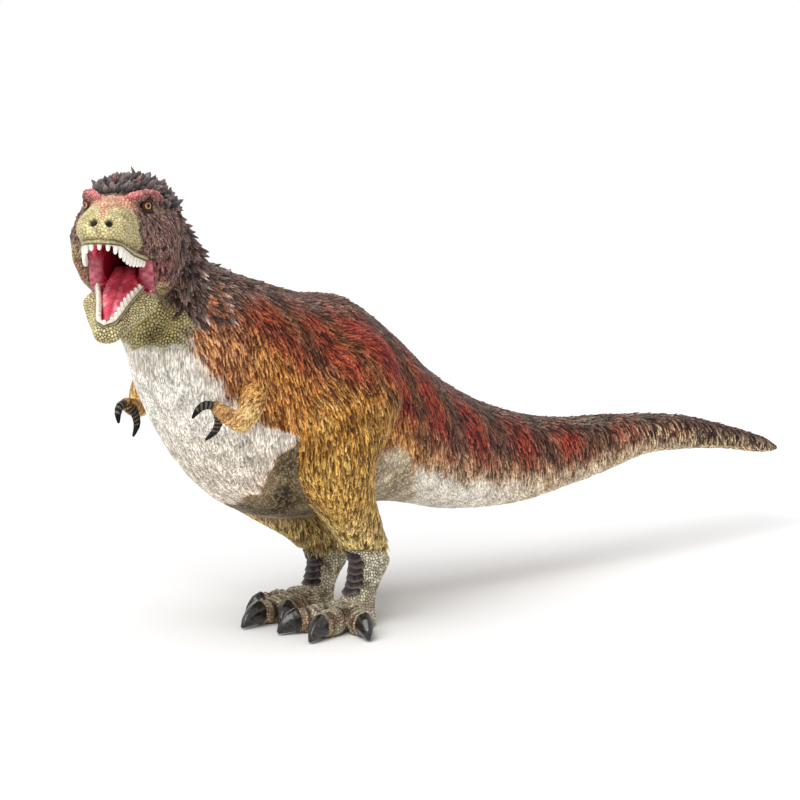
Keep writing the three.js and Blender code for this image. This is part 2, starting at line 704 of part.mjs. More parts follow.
function lowerJaw() {
  const chin = smoothed(jawShares.map(([place, top, bottom, width, taper]) => section(
    jawPlace(place, top), jawPlace(place, bottom), (width * jawWidth) / 2, skullRoundShare, taper)));
  const trough = smoothed(troughShares.map(([place, width]) => section(
    jawPlace(place, 1), jawPlace(place, -troughDepthShare), (width * jawWidth) / 2, skullRoundShare)));
  const throatPlace = (forward, up) => vector(0, -forward, up).multiplyScalar(barrelRadius);
  const gullet = smoothed(gulletShares.map(([place, top, bottom, width]) => section(
    throatPlace(place, top), throatPlace(place, bottom), (width * barrelWidth) / 2, bodyRoundShare)));
  const barrel = bar(vector(-barrelWidth / 2, 0, 0), vector(barrelWidth / 2, 0, 0), barrelRadius, roundSides);
  const bores = [-1, 1].map((side) => {
    const inner = vector(side * (barrelWidth / 2 - jawPinLength / 2 - runningClearance), 0, 0);
    return bar(inner, vector(side * barrelWidth, 0, 0), jawPinRadius + runningClearance, pinSides);
  });
  const hollows = [form(trough, mouthSides), form(gullet, mouthSides), gumBar(lowerGums, fitClearance)];
  const jaw = cutBy(form(chin, headSides).add(barrel), [...hollows, ...bores]);
  addPiece('lower_jaw', placed(jaw, jawMatrix), 'jawSkin', jawGroup);
  const teeth = toothRow(lowerGums, lowerTeeth, lowerToothLength, lowerToothRadius, 1);
  addPiece('lower_teeth', placed(teeth, jawMatrix), 'ivory', jawGroup);
  const places = tongueShares.map(([place, up]) => jawPlace(place, up));
  const halves = tongueShares.map((row) => (row[2] * tongueWidth) / 2);
  const rises = tongueShares.map((row) => (row[3] * tongueThickness) / 2);
  const tongue = form(smoothed(along(places, halves, rises)), tongueSides);
  addPiece('tongue', placed(tongue, jawMatrix), 'mouth', jawGroup);
}

// An arm, which stands clear of the flank through its whole swing, and its flanged peg, whose flange
// lies just inside the trunk's wall
const wallInside = bar(shoulderAxis, shoulderAxis.clone().setX(bodyWidth), flangeRadius).subtract(torsoHollow);
const flangeOut = new THREE.Box3().setFromBufferAttribute(geometryOf(wallInside).attributes.position).min.x
  - flangeGap;
const flank = form(torsoSections, bodySides, fitClearance);

function arm(name, side, drop) {
  const shoulderOut = flangeOut + flangeDepth;
  const root = shoulderAxis.clone().setX(side * shoulderOut);
  const place = ([out, forward, up]) => vector(side * out, -forward, up).multiplyScalar(armLength)
    .applyAxisAngle(sideways, drop).add(root);
  const radii = armShares.map((row) => row[3] * armRadius);
  const taper = fingerTaperShares.map((share) => share * fingerRadius);
  const fingers = fingerShares.map((finger) => form(
    smoothed(along(finger.map(place), taper, taper)), fingerSides));
  const limb = joined(form(smoothed(along(armShares.map(place), radii, radii)), limbSides), fingers);
  const onAxis = (distance) => root.clone().setX(side * (shoulderOut + distance));
  const pegHole = bar(onAxis(0), onAxis(shoulderPegLength + fitClearance), shoulderPegRadius + fitClearance);
  addPiece(`${name}_arm`, cutBy(limb, [flank, pegHole]), 'armSkin');
  const flangeInner = onAxis(-flangeDepth - flangeThickness);
  const peg = bar(flangeInner, onAxis(shoulderPegLength), shoulderPegRadius);
  addPiece(`${name}_shoulder_peg`, peg.add(bar(flangeInner, onAxis(-flangeDepth), flangeRadius)), 'plastic');
}

// A leg with its hip peg, cut to the flank, and the steel pin down through its ankle
function leg(name, side, ankleHeight, shares) {
  const levelAt = (height) => ankleHeight + seam + height * (legHeight - ankleHeight);
  const sections = smoothed(shares.map(([height, out, behind, width, depth]) => slice(
    vector(side * out * bodyWidth, behind * legHeight, levelAt(height)),
    (width * thighWidth) / 2, (depth * thighDepth) / 2, legRoundShare)));
  const ankle = sections[sections.length - 1].centre.clone().setZ(ankleHeight);
  const pinEnds = [-1, 1].map((way) => ankle.clone().setZ(ankleHeight + (way * anklePinLength) / 2));
  const pinBore = bore(...pinEnds, anklePinRadius + fitClearance, fitClearance, pinSides);
  const hipPlace = (out) => vector(side * out, 0, hipHeight);
  const hipPegStart = hipPlace(bodyWidth / 2 - torsoWall - hipPegLength);
  const hipPeg = bar(hipPegStart, hipPlace(bodyWidth / 2), hipPegRadius);
  const limb = form(sections, legSides).subtract(flank).add(hipPeg).subtract(pinBore);
  addPiece(`${name}_leg`, limb, 'legPlumage');
  addPiece(`${name}_ankle_pin`, bar(...pinEnds, anklePinRadius, pinSides), 'steel');
  return { ankle, pinBore };
}

function toe(base, direction, length) {
  const place = ([share, up]) => base.clone().addScaledVector(direction, share * length).setZ(up * toeHeight);
  const pad = along(toeShares.map(place), toeShares.map((row) => row[2] * toeWidth),
    toeShares.map((row) => row[3] * toeHeight));
  const claw = along(clawShares.map(place), clawShares.map((row) => row[2] * clawThickness),
    clawShares.map((row) => row[3] * clawThickness));
  return form(pad, limbSides).add(form(claw, fingerSides));
}

// A foot with three clawed toes and a flat sole
function foot(name, side, { ankle, pinBore }, footTable, toeTable) {
  const sections = footTable.map(([height, inward, forward, width, depth]) => slice(
    vector(ankle.x - side * inward * ankle.z, ankle.y - forward * ankle.z, height * ankle.z),
    (width * ankleWidth) / 2, (depth * ankleDepth) / 2, 1));
  const base = sections[sections.length - 1].centre;
  const toes = toeTable.map(([degrees, share]) => {
    const angle = THREE.MathUtils.degToRad(degrees);
    return toe(base, vector(side * Math.sin(angle), -Math.cos(angle), 0), share * toeLength);
  });
  const ground = block(vector(0, 0, -toeHeight), 2 * bodyLength, bodyLength, 2 * toeHeight);
  const whole = joined(form(smoothed(sections), limbSides), toes);
  addPiece(`${name}_foot`, cutBy(whole, [ground, pinBore]), 'footSkin');
}

torsoShells();
plug('neck_plug', neckPlugEnds, neckPlugRadius);
plug('tail_plug', tailPlugEnds, tailPlugRadius);
tail();
head();
lowerJaw();
for (const [name, side, drop, ankleHeight, legTable, footTable, toeTable] of [
  ['left', 1, 0, leftAnkleHeight, leftLegShares, leftFootShares, leftToeShares],
  ['right', -1, rightArmDrop, rightAnkleHeight, rightLegShares, rightFootShares, rightToeShares],
]) {
  arm(name, side, drop);
  foot(name, side, leg(name, side, ankleHeight, legTable), footTable, toeTable);
}

// The origin is under the middle of the whole figure, on the surface that it stands on
const bounds = new THREE.Box3().setFromObject(figure, true);
const middle = bounds.getCenter(vector(0, 0, 0));
figure.position.set(-middle.x, -middle.y, -bounds.min.z);
figure.updateMatrixWorld(true);

export default figure;
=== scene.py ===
import math

import bpy
import numpy as np
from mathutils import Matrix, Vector, bvhtree, kdtree


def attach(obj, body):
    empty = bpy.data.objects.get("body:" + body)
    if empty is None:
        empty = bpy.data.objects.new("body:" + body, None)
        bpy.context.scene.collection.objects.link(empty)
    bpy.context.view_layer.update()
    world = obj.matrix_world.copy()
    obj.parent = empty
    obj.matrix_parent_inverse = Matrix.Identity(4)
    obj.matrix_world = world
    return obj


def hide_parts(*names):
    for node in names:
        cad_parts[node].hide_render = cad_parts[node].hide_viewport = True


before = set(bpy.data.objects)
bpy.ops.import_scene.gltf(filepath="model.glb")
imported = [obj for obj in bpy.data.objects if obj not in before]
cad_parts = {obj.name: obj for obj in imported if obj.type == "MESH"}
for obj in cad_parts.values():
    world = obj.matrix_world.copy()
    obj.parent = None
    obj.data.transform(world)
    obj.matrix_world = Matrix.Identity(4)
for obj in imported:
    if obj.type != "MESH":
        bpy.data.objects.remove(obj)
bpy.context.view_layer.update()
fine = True
rng = np.random.default_rng(41)

# All shapes are worked out in millimetres in the row frame: the figure faces -Y and its left is +X.
MM_PER_M = 1000
OFFSET = np.array([-0.3885, -63.9235, 0.0])
BODY_LENGTH, BACK_HEIGHT, HALF_BODY, BODY_WIDTH = 314.0, 124.0, 26.5, 53.0
HIP_SHARE = 0.236  # how far along the body the hips are
LEG_HEIGHT, HALF_THIGH_WIDTH, HALF_THIGH_DEPTH = 98.0, 12.0, 21.0
LEFT_ANKLE, RIGHT_ANKLE = 26.5, 22.0
HINGE = np.array([4.0115, -140.9235, 125.1])
FORWARD, LEFT, UP = np.array([[0.6186, -0.7639, 0.1840], [0.7771, 0.6293, 0.0], [-0.1158, 0.1430, 0.9829]])
GAPE = math.radians(33)
JAW_FORWARD = math.cos(GAPE) * FORWARD - math.sin(GAPE) * UP
JAW_UP = math.sin(GAPE) * FORWARD + math.cos(GAPE) * UP
EYE_FORWARD, EYE_OUT, EYE_UP = 18.3, 7.9, 15.6

# Outlines as in the CAD: back along and up, belly along and up, half width
BODY = [
    [0.086, 1.0, 0.018, 0.722, 0.58], [0.118, 0.964, 0.034, 0.637, 0.76], [0.166, 0.923, 0.066, 0.506, 0.88],
    [0.22, 0.883, 0.113, 0.378, 0.95], [0.268, 0.867, 0.17, 0.307, 0.97], [0.304, 0.818, 0.242, 0.29, 0.93],
    [0.343, 0.745, 0.312, 0.3, 0.84], [0.383, 0.662, 0.373, 0.278, 0.72], [0.427, 0.593, 0.424, 0.246, 0.61],
    [0.49, 0.519, 0.489, 0.228, 0.5], [0.554, 0.468, 0.554, 0.224, 0.42], [0.618, 0.439, 0.618, 0.242, 0.35],
    [0.685, 0.427, 0.683, 0.263, 0.3], [0.752, 0.411, 0.752, 0.292, 0.24], [0.822, 0.387, 0.822, 0.287, 0.2],
    [0.895, 0.339, 0.895, 0.266, 0.15], [0.968, 0.281, 0.968, 0.233, 0.1], [1.0, 0.242, 1.0, 0.229, 0.03],
]
# Level slices of each leg: height, out, behind, half width, half depth
LEFT_LEG = [
    [1.0, 0.32, 0.03, 0.3, 0.28], [0.945, 0.331, 0.026, 0.68, 0.6], [0.83, 0.359, 0.01, 0.9, 0.88],
    [0.68, 0.396, -0.02, 1.0, 1.0], [0.55, 0.425, -0.061, 0.97, 0.9], [0.44, 0.435, -0.092, 0.9, 0.74],
    [0.33, 0.422, -0.077, 0.8, 0.62], [0.217, 0.386, -0.026, 0.7, 0.53], [0.105, 0.351, 0.041, 0.6, 0.45],
    [0.0, 0.32, 0.092, 0.53, 0.4],
]
RIGHT_LEG = [
    [1.0, 0.32, 0.03, 0.3, 0.28], [0.947, 0.331, 0.026, 0.68, 0.6], [0.842, 0.359, 0.01, 0.9, 0.88],
    [0.697, 0.396, -0.01, 1.0, 0.98], [0.526, 0.425, -0.046, 0.95, 0.88], [0.368, 0.435, -0.066, 0.88, 0.76],
    [0.25, 0.41, -0.045, 0.78, 0.68], [0.145, 0.333, 0.048, 0.66, 0.6], [0.053, 0.244, 0.125, 0.56, 0.46],
    [0.0, 0.203, 0.153, 0.53, 0.4],
]
# Half width of each row of teeth, by how far ahead of the hinge it is
UPPER_ARCH = [[19, 21, 24, 27, 30, 33, 36, 39, 41.5, 42.4], [9.0, 8.4, 7.7, 7.2, 6.7, 6.2, 5.4, 4.2, 2.2, 0]]
LOWER_ARCH = [[15, 18, 21, 24, 27, 30, 33, 36, 38.4], [6.8, 5.8, 5.0, 4.2, 3.6, 3.4, 2.9, 1.8, 0]]


def unit(v):
    v = np.asarray(v, float)
    return v / np.maximum(np.linalg.norm(v, axis=-1, keepdims=True), 1e-9)


def clamp(x):
    return np.clip(x, 0, 1)


def ramp(a, b, x):
    # Eases from 0 where x is a to 1 where it is b, and the other way round where b is less than a
    t = clamp((np.asarray(x, float) - a) / (b - a))
    return t * t * (3 - 2 * t)


def mix(a, b, share):
    share = np.asarray(share, float)[..., None]
    return np.asarray(a) * (1 - share) + np.asarray(b) * share


def coated(base, *coats):
    # A colour under coats, each given with how much of it there is
    for coat, share in coats:
        base = mix(base, coat, share)
    return base


def paint(r, g, b):
    # A colour as it is seen, turned into the linear values that shaders take
    c = np.array([r, g, b], float) / 255
    return np.where(c <= 0.04045, c / 12.92, ((c + 0.055) / 1.055) ** 2.4)


def blend(low, high, share):
    return mix(paint(*low), paint(*high), share)


def wave(points, scale, seed):
    # Smooth seeded variation between about -1 and 1
    r = np.random.default_rng(seed)
    total = np.zeros(len(points))
    for _ in range(7):
        k = unit(r.normal(size=3)) * (2 * np.pi / scale) * r.uniform(0.6, 1.6)
        total += np.sin(points @ k + r.uniform(0, 6.28))
    return total / 4


def norm(v):
    return np.linalg.norm(v, axis=1)


def along_surface(directions, normals):
    return unit(directions - (directions * normals).sum(-1, keepdims=True) * normals)


# --- forms ---
# A section is its middle, across, up, half width, half height and roundness
def curve(rows, steps):
    rows = np.asarray(rows, float)
    last = len(rows) - 1
    result = []
    for i in range(last):
        a, b, c, d = rows[max(i - 1, 0)], rows[i], rows[i + 1], rows[min(i + 2, last)]
        slope_in, slope_out = (c - a) / 2, (d - b) / 2
        cubic = 2 * (b - c) + slope_in + slope_out
        square = 3 * (c - b) - 2 * slope_in - slope_out
        for t in np.arange(steps) / steps:
            result.append(b + t * (slope_in + t * (square + t * cubic)))
    return np.array(result + [rows[last]])


def ring(s, sides, swell=None):
    angle = np.arange(sides) * 2 * np.pi / sides
    cosine, sine = np.cos(angle), np.sin(angle)
    out = np.sign(cosine) * abs(cosine) ** s[11] * s[9]
    rise = np.sign(sine) * abs(sine) ** s[11] * s[10]
    if swell is not None:
        out, rise = out * swell(angle), rise * swell(angle)
    return s[0:3] + out[:, None] * unit(s[3:6]) + rise[:, None] * unit(s[6:9])


def skin_over(rings):
    # Closed by a fan at each end, and turned right side out
    sides = len(rings[0])
    last = (len(rings) - 1) * sides
    start = last + sides
    p = np.vstack([np.concatenate(rings), rings[0].mean(0), rings[-1].mean(0)])
    around = [(i, (i + 1) % sides) for i in range(sides)]
    faces = [(near + i, near + j, near + sides + j, near + sides + i)
             for near in range(0, last, sides) for i, j in around]
    for i, j in around:
        faces += [(start, j, i), (start + 1, last + i, last + j)]
    volume = sum(np.dot(p[f[0]], np.cross(p[f[1]], p[f[2]])) for f in faces[::3])
    return p, [f[::-1] for f in faces] if volume < 0 else faces


def loft(rows, sides=72, steps=6, swell=None):
    return skin_over([ring(s, sides, swell) for s in curve(rows, steps)])


def tube(places, halves, rises, sides, steps, swell, roundness=1.0, up_hint=(0, 0, 1)):
    places = np.array(places, float)
    rows = []
    for i, place in enumerate(places):
        forward = unit(places[min(i + 1, len(places) - 1)] - places[max(i - 1, 0)])
        across = unit(np.cross(forward, up_hint))
        rows.append([*place, *across, *np.cross(across, forward), halves[i], rises[i], roundness])
    return loft(rows, sides, steps, swell)


def joined(parts):
    points, faces, start = [], [], 0
    for p, f in parts:
        points.append(p)
        faces += [tuple(i + start for i in face) for face in f]
        start += len(p)
    return np.vstack(points), faces


def placed(name, data):
    thing = bpy.data.objects.new(name, data)
    bpy.context.scene.collection.objects.link(thing)
    return thing


def mesh_of(name, points, faces):
    mesh = bpy.data.meshes.new(name)
    mesh.from_pydata(np.asarray(points, float).tolist(), [], [list(map(int, f)) for f in faces])
    mesh.validate()
    return mesh


def places_of(mesh):
    points = np.empty(len(mesh.vertices) * 3, np.float32)
    mesh.vertices.foreach_get("co", points)
    return points.reshape(-1, 3).astype(float)


def node_form(name):
    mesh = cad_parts[name].data
    return places_of(mesh) * MM_PER_M, [tuple(p.vertices) for p in mesh.polygons]


def islands(count, a, b):
    # A label for each point, the same for all that the links from a to b join
    label = np.arange(count)
    while True:
        low = label.copy()
        np.minimum.at(low, a, label[b])
        np.minimum.at(low, b, label[a])
        low = low[low]
        if (low == label).all():
            return label
        label = low


class Skin:
    """An even quad skin with its normals and links, for smoothing and relief."""

    def __init__(self, points, faces):
        self.p, self.f = points, faces
        self.a, self.b = faces.T.ravel(), np.roll(faces, -1, axis=1).T.ravel()
        self.count = np.maximum(np.bincount(self.a, minlength=len(points)), 1)
        self.renew()

    def renew(self):
        p, f = self.p, self.f
        flat = np.cross(p[f[:, 2]] - p[f[:, 0]], p[f[:, 3]] - p[f[:, 1]])
        self.n = unit(np.stack([sum(np.bincount(f[:, i], flat[:, axis], len(p)) for i in range(4))
                                for axis in range(3)], 1))

    def mean(self, values):
        return np.stack([np.bincount(self.a, column[self.b], len(self.p)) for column in values.T],
                        1) / self.count[:, None]

    def smooth(self, times, weight):
        w = np.asarray(weight, float)
        w = w[:, None] if w.ndim else w
        for _ in range(times):
            self.p = self.p + w * (self.mean(self.p) - self.p)
        self.renew()


def even_skin(form, voxel, least=0.02):
    # One even skin over everything that overlaps, without small closed bubbles such as hidden sockets
    thing = placed("work", mesh_of("work", *form))
    modifier = thing.modifiers.new("even", "REMESH")
    modifier.mode, modifier.voxel_size = "VOXEL", voxel
    result = bpy.data.meshes.new_from_object(thing.evaluated_get(bpy.context.evaluated_depsgraph_get()))
    old = thing.data
    bpy.data.objects.remove(thing)
    bpy.data.meshes.remove(old)
    points = places_of(result)
    corners = np.empty(len(result.loops), np.int32)
    result.loops.foreach_get("vertex_index", corners)
    bpy.data.meshes.remove(result)
    faces = corners.reshape(-1, 4)
    label = islands(len(points), faces.ravel(), np.roll(faces, -1, axis=1).ravel())
    kinds, counts = np.unique(label, return_counts=True)
    good = np.isin(label, kinds[counts > least * len(points)])
    index = np.cumsum(good) - 1
    return Skin(points[good], index[faces[good[faces].all(1)]])


def capped(points, quads):
    # Closes a parted skin with hidden fans to the middle of each open edge
    a, b = quads.ravel(), np.roll(quads, -1, axis=1).ravel()
    open_edge = ~np.isin(a.astype(np.int64) * len(points) + b, b.astype(np.int64) * len(points) + a)
    a, b = a[open_edge], b[open_edge]
    kinds, which = np.unique(islands(len(points), a, b)[a], return_inverse=True)
    middles = np.array([points[a[which == i]].mean(0) for i in range(len(kinds))]).reshape(-1, 3)
    return np.vstack([points, middles]), np.stack([b, a, len(points) + which], 1)


def thin(points, spacing, cells=2000):
    # Picks points at random, one to each cell of a grid with room for so many cells each way
    order = rng.permutation(len(points))
    cell = np.floor(points[order] / spacing + cells / 4).astype(np.int64)
    key = (cell[:, 0] * cells + cell[:, 1]) * cells + cell[:, 2]
    return order[np.unique(key, return_index=True)[1]]


def nearest(points, seeds, k):
    tree = kdtree.KDTree(len(seeds))
    for i, s in enumerate(seeds.tolist()):
        tree.insert(s, i)
    tree.balance()
    found = np.zeros((len(points), k), np.int32)
    for row, p in enumerate(points.tolist()):
        hits = tree.find_n(p, k)
        found[row] = [h[1] for h in hits] + [0] * (k - len(hits))
    return found


def strokes(p, n, d, spacing, length, width, k):
    # Overlapping strands that lie along the field d: their height, their light and a tone for each strand
    seeds = thin(p, spacing)
    c = p[seeds]
    along = along_surface(unit(d[seeds] + 0.16 * rng.normal(size=(len(seeds), 3))), n[seeds])
    side = np.cross(n[seeds], along)
    half = length[seeds] / 2 * rng.uniform(0.75, 1.25, len(seeds))
    wide = width[seeds] * rng.uniform(0.75, 1.3, len(seeds))
    tone = rng.uniform(0, 1, len(seeds))
    best, strand, light = np.full(len(p), -1.0), np.zeros(len(p), np.int32), np.zeros(len(p))
    for column in nearest(p, c, k).T:
        rel = p - c[column]
        a = (rel * along[column]).sum(1) / half[column]
        b = (rel * side[column]).sum(1) / wide[column]
        toward_tip, rounded = clamp((a + 1) / 2), clamp(1 - b * b)
        h = rounded * (0.3 + 0.7 * toward_tip) * ramp(1.05, 0.75, a)
        h = h * ramp(-1.05, -0.7, a) * (0.7 + 0.3 * tone[column])
        higher = h > best
        best = np.where(higher, h, best)
        strand = np.where(higher, column, strand)
        light = np.where(higher, rounded ** 0.7 * (0.55 + 0.45 * toward_tip) * ramp(0.0, 0.12, h), light)
    return best, light, tone[strand]


def beads(p, spacing):
    # Rounded scales with grooves between them: height, and a tone for each scale
    seeds = p[thin(p, spacing)]
    tone = rng.uniform(0, 1, len(seeds))
    for _ in range(3 if fine else 1):
        owner = nearest(p, seeds, 1)[:, 0]
        count = np.bincount(owner, minlength=len(seeds))[:, None]
        middle = np.stack([np.bincount(owner, p[:, i], len(seeds)) for i in range(3)], 1) / np.maximum(count, 1)
        seeds = np.where(count > 0, middle, seeds)
    found = nearest(p, seeds, 2)
    near, far = (norm(p - seeds[found[:, i]]) for i in (0, 1))
    return ramp(0, 0.5 * spacing, far - near), tone[found[:, 0]]


def dress(thing, material):
    thing.data.materials.clear()
    thing.data.materials.append(material)


def piece(name, points, faces, colours, wet, material, slot, nodes=(), body="figure", fans=()):
    # A painted piece that rides a body and takes the place of nodes
    if isinstance(faces, np.ndarray):
        fans = np.array(fans, np.int32).reshape(-1, 3)
        corners = np.concatenate([faces.ravel(), fans.ravel()]).astype(np.int32)
        starts = np.concatenate([np.arange(0, faces.size, 4), faces.size + np.arange(0, fans.size, 3)])
        mesh = bpy.data.meshes.new(name)
        mesh.vertices.add(len(points))
        mesh.vertices.foreach_set("co", (points / MM_PER_M).astype(np.float32).ravel())
        mesh.loops.add(len(corners))
        mesh.loops.foreach_set("vertex_index", corners)
        mesh.polygons.add(len(starts))
        mesh.polygons.foreach_set("loop_start", starts.astype(np.int32))
        mesh.update(calc_edges=True)
    else:
        mesh = mesh_of(name, points / MM_PER_M, faces)
    count = len(mesh.vertices)
    values = np.ones((count, 4), np.float32)
    values[:, :3] = clamp(colours)
    mesh.color_attributes.new("paint", "FLOAT_COLOR", "POINT").data.foreach_set("color", values.ravel())
    mesh.attributes.new("wet", "FLOAT", "POINT").data.foreach_set("value", np.full(count, wet, np.float32))
    mesh.polygons.foreach_set("use_smooth", np.full(len(mesh.polygons), True))
    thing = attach(placed(name, mesh), body)
    dress(thing, material)
    if nodes:
        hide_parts(*nodes)
    return thing


# --- materials ---
CLOUD_SCALE, GRAIN_DEPTH = 220, 0.0001
STRAND_TILT = math.radians(-17)


def fill(tree, node, inputs):
    # Sets each input, or links it where it is given another node's output
    for name, value in inputs.items():
        if isinstance(value, bpy.types.NodeSocket):
            tree.links.new(value, node.inputs[name])
        else:
            node.inputs[name].default_value = value


def added(tree, kind, output, inputs, **settings):
    node = tree.nodes.new("ShaderNode" + kind)
    for name, value in settings.items():
        setattr(node, name, value)
    fill(tree, node, inputs)
    return node.outputs[output]


def product(tree, a, b):
    return added(tree, "Math", "Value", {0: a, 1: b}, operation="MULTIPLY")


def new_material(name):
    material = bpy.data.materials.new(name)
    material.use_nodes = True
    return material, material.node_tree, material.node_tree.nodes["Principled BSDF"]


def finish(name, roughness, wet_roughness=0.18, grain_size=0.0006, bump=0.25, variation=0.12, coat=0.0,
           drawn_out=1.0, specular=0.4):
    """Paint from the sculpt's own colours, broken up by fine noise, with grain in its relief."""
    material, tree, shader = new_material(name)
    colour = added(tree, "Attribute", "Color", {}, attribute_name="paint")
    wet = added(tree, "Attribute", "Fac", {}, attribute_name="wet")
    place = added(tree, "TexCoord", "Object", {})
    strands = added(tree, "Mapping", "Vector", {
        "Vector": place, "Rotation": (STRAND_TILT, 0, 0), "Scale": (1, 1, drawn_out)})
    cloud = added(tree, "TexNoise", "Fac", {"Vector": place, "Scale": CLOUD_SCALE, "Detail": 5})
    speck = added(tree, "TexNoise", "Fac", {"Vector": strands, "Scale": 1 / grain_size, "Detail": 3})
    shade = added(tree, "MapRange", "Result", {
        "Value": cloud, "From Min": 0.3, "From Max": 0.7, "To Min": 1 - variation, "To Max": 1 + variation})
    flecks = added(tree, "MapRange", "Result", {
        "Value": speck, "From Min": 0.32, "From Max": 0.68,
        "To Min": 1 - 1.9 * variation, "To Max": 1 + 1.7 * variation})
    rough = added(tree, "MapRange", "Result", {"Value": wet, "To Min": roughness, "To Max": wet_roughness})
    tinted = added(tree, "VectorMath", "Vector", {0: colour, "Scale": product(tree, shade, flecks)},
                   operation="SCALE")
    relief = added(tree, "Bump", "Normal", {"Strength": bump, "Distance": GRAIN_DEPTH, "Height": speck})
    fill(tree, shader, {"Base Color": tinted, "Roughness": product(tree, rough, flecks), "Normal": relief,
                        "Coat Weight": coat, "Specular IOR Level": specular})
    return material


def plain(name, low, high, roughness, metallic, scale):
    """A moulded or metal surface with faint mottling."""
    material, tree, shader = new_material(name)
    noise = added(tree, "TexNoise", "Fac", {"Vector": added(tree, "TexCoord", "Object", {}), "Scale": scale})
    mottled = added(tree, "ValToRGB", "Color", {"Fac": noise})
    for element, tone in zip(mottled.node.color_ramp.elements, (low, high)):
        element.color = (*paint(*tone), 1)
    rough = added(tree, "MapRange", "Result", {
        "Value": noise, "To Min": roughness - 0.08, "To Max": roughness + 0.08})
    fill(tree, shader, {"Base Color": mottled, "Roughness": rough, "Metallic": metallic})
    return material


plumage = finish("painted_plumage", 0.46, grain_size=0.0004, variation=0.3, drawn_out=0.14, bump=0.7,
                 specular=0.12)
hide = finish("painted_hide", 0.46, grain_size=0.0005, variation=0.17, bump=0.35, specular=0.14)
scaly = finish("painted_scales", 0.46, grain_size=0.0006, variation=0.1, bump=0.35, specular=0.2)
flesh = finish("wet_flesh", 0.34, wet_roughness=0.14, variation=0.1, coat=0.4)
enamel = finish("ivory_enamel", 0.32, wet_roughness=0.22, variation=0.04, bump=0.15)
horn = finish("black_horn", 0.24, wet_roughness=0.24, variation=0.12, bump=0.2, coat=0.2)
glass_eye = finish("glossy_eye", 0.08, wet_roughness=0.08, variation=0.05, bump=0.02, specular=0.28)


# --- the hide: trunk, tail, legs, neck and head as one skin ---
def body_row(row):
    top, bottom = (np.array([0, (row[i] - HIP_SHARE) * BODY_LENGTH, row[i + 1] * BACK_HEIGHT]) + OFFSET
                   for i in (0, 2))
    middle, length = (top + bottom) / 2, np.linalg.norm(top - bottom)
    return np.array([*middle, 1, 0, 0, *(top - bottom) / length, row[4] * HALF_BODY, length / 2, 0.92])


body_rows = [body_row(row) for row in BODY]
neck_middle = body_rows[0][:3]
NECK_NORMAL = unit([0, -0.85, 0.527])
TAIL_MIDDLE, TAIL_NORMAL = body_rows[7][:3], unit([0, 0.998, -0.065])


def leg_form(side, shares, ankle):
    rows = []
    for height, out, behind, width, depth in shares:
        middle = np.array([side * out * BODY_WIDTH, behind * LEG_HEIGHT,
                           ankle + 0.3 + height * (LEG_HEIGHT - ankle)]) + OFFSET
        rows.append([*middle, 1, 0, 0, 0, 1, 0, width * HALF_THIGH_WIDTH, depth * HALF_THIGH_DEPTH, 0.95])
    return loft(rows, 56, 5)


def neck_stub():
    # Fills the socket between neck and trunk
    rows = []
    for reach in (-8, 5):
        row = body_rows[0].copy()
        row[:3] += unit(neck_middle - body_rows[1][:3]) * reach
        row[9:11] *= 0.8
        rows.append(row)
    return loft(rows, 40, 3)


trunk_form = loft(body_rows)
left_leg_form = leg_form(1, LEFT_LEG, LEFT_ANKLE)
right_leg_form = leg_form(-1, RIGHT_LEG, RIGHT_ANKLE)
hide_skin = even_skin(joined([trunk_form, left_leg_form, right_leg_form, neck_stub(), node_form("head")]),
                      0.35 if fine else 0.8)


def distance_to(form, points, where, reach=7.0):
    tree = bvhtree.BVHTree.FromPolygons(form[0].tolist(), form[1])
    result = np.full(len(points), reach)
    for i in np.flatnonzero(where):
        gap = tree.find_nearest(points[i].tolist(), reach)[3]
        if gap is not None:
            result[i] = gap
    return result


def head_places(p):
    q = p - HINGE
    return q @ FORWARD, q @ LEFT, q @ UP


def jaw_places(p):
    q = p - HINGE
    return q @ JAW_FORWARD, q @ LEFT, q @ JAW_UP


def past_neck(p):
    return (p - neck_middle) @ NECK_NORMAL


p = hide_skin.p
hips = (p[:, 2] < 105) & (p[:, 1] > -100) & (p[:, 1] < -30)
to_trunk = distance_to(trunk_form, p, hips)
to_left = distance_to(left_leg_form, p, hips & (p[:, 0] > OFFSET[0]))
to_right = distance_to(right_leg_form, p, hips & (p[:, 0] <= OFFSET[0]))
to_leg = np.minimum(to_left, to_right)
legness = (to_trunk - to_leg)[:, None]
for _ in range(8):
    legness = hide_skin.mean(legness)
legness = legness[:, 0]
joint = ramp(4.5, 0.8, to_trunk) * ramp(4.5, 0.8, to_leg) * (p[:, 2] > 30)
neck_joint = ramp(7, 1.5, abs(past_neck(p)))
in_head = past_neck(p) > 0
f, _, k = head_places(p)
sharp = in_head & ((np.hypot(f, k) < 15) | ((k < 7) & (f > -4)))
hide_skin.smooth(40 if fine else 10, np.where(sharp, 0.12, np.where(in_head, 0.5, 0.25)))
hide_skin.smooth(110 if fine else 30, 0.6 * np.maximum(joint, 0.8 * neck_joint * (abs(p[:, 0]) < 40)))
p, n = hide_skin.p, hide_skin.n
x, y, z = p.T
in_head = past_neck(p) > 0
in_tail = (p - TAIL_MIDDLE) @ TAIL_NORMAL > 0
on_leg = (legness > 0) & ~in_head & ~in_tail
# In the head's own frame: forward, left and up of the hinge, and how far to either side
f, l, k = head_places(p)
aside = abs(l)
nf, nl, nk = n @ FORWARD, n @ LEFT, n @ UP
below_back = np.interp(y, [(r[0] - HIP_SHARE) * BODY_LENGTH + OFFSET[1] for r in BODY],
                       [r[1] * BACK_HEIGHT for r in BODY], left=130) - z

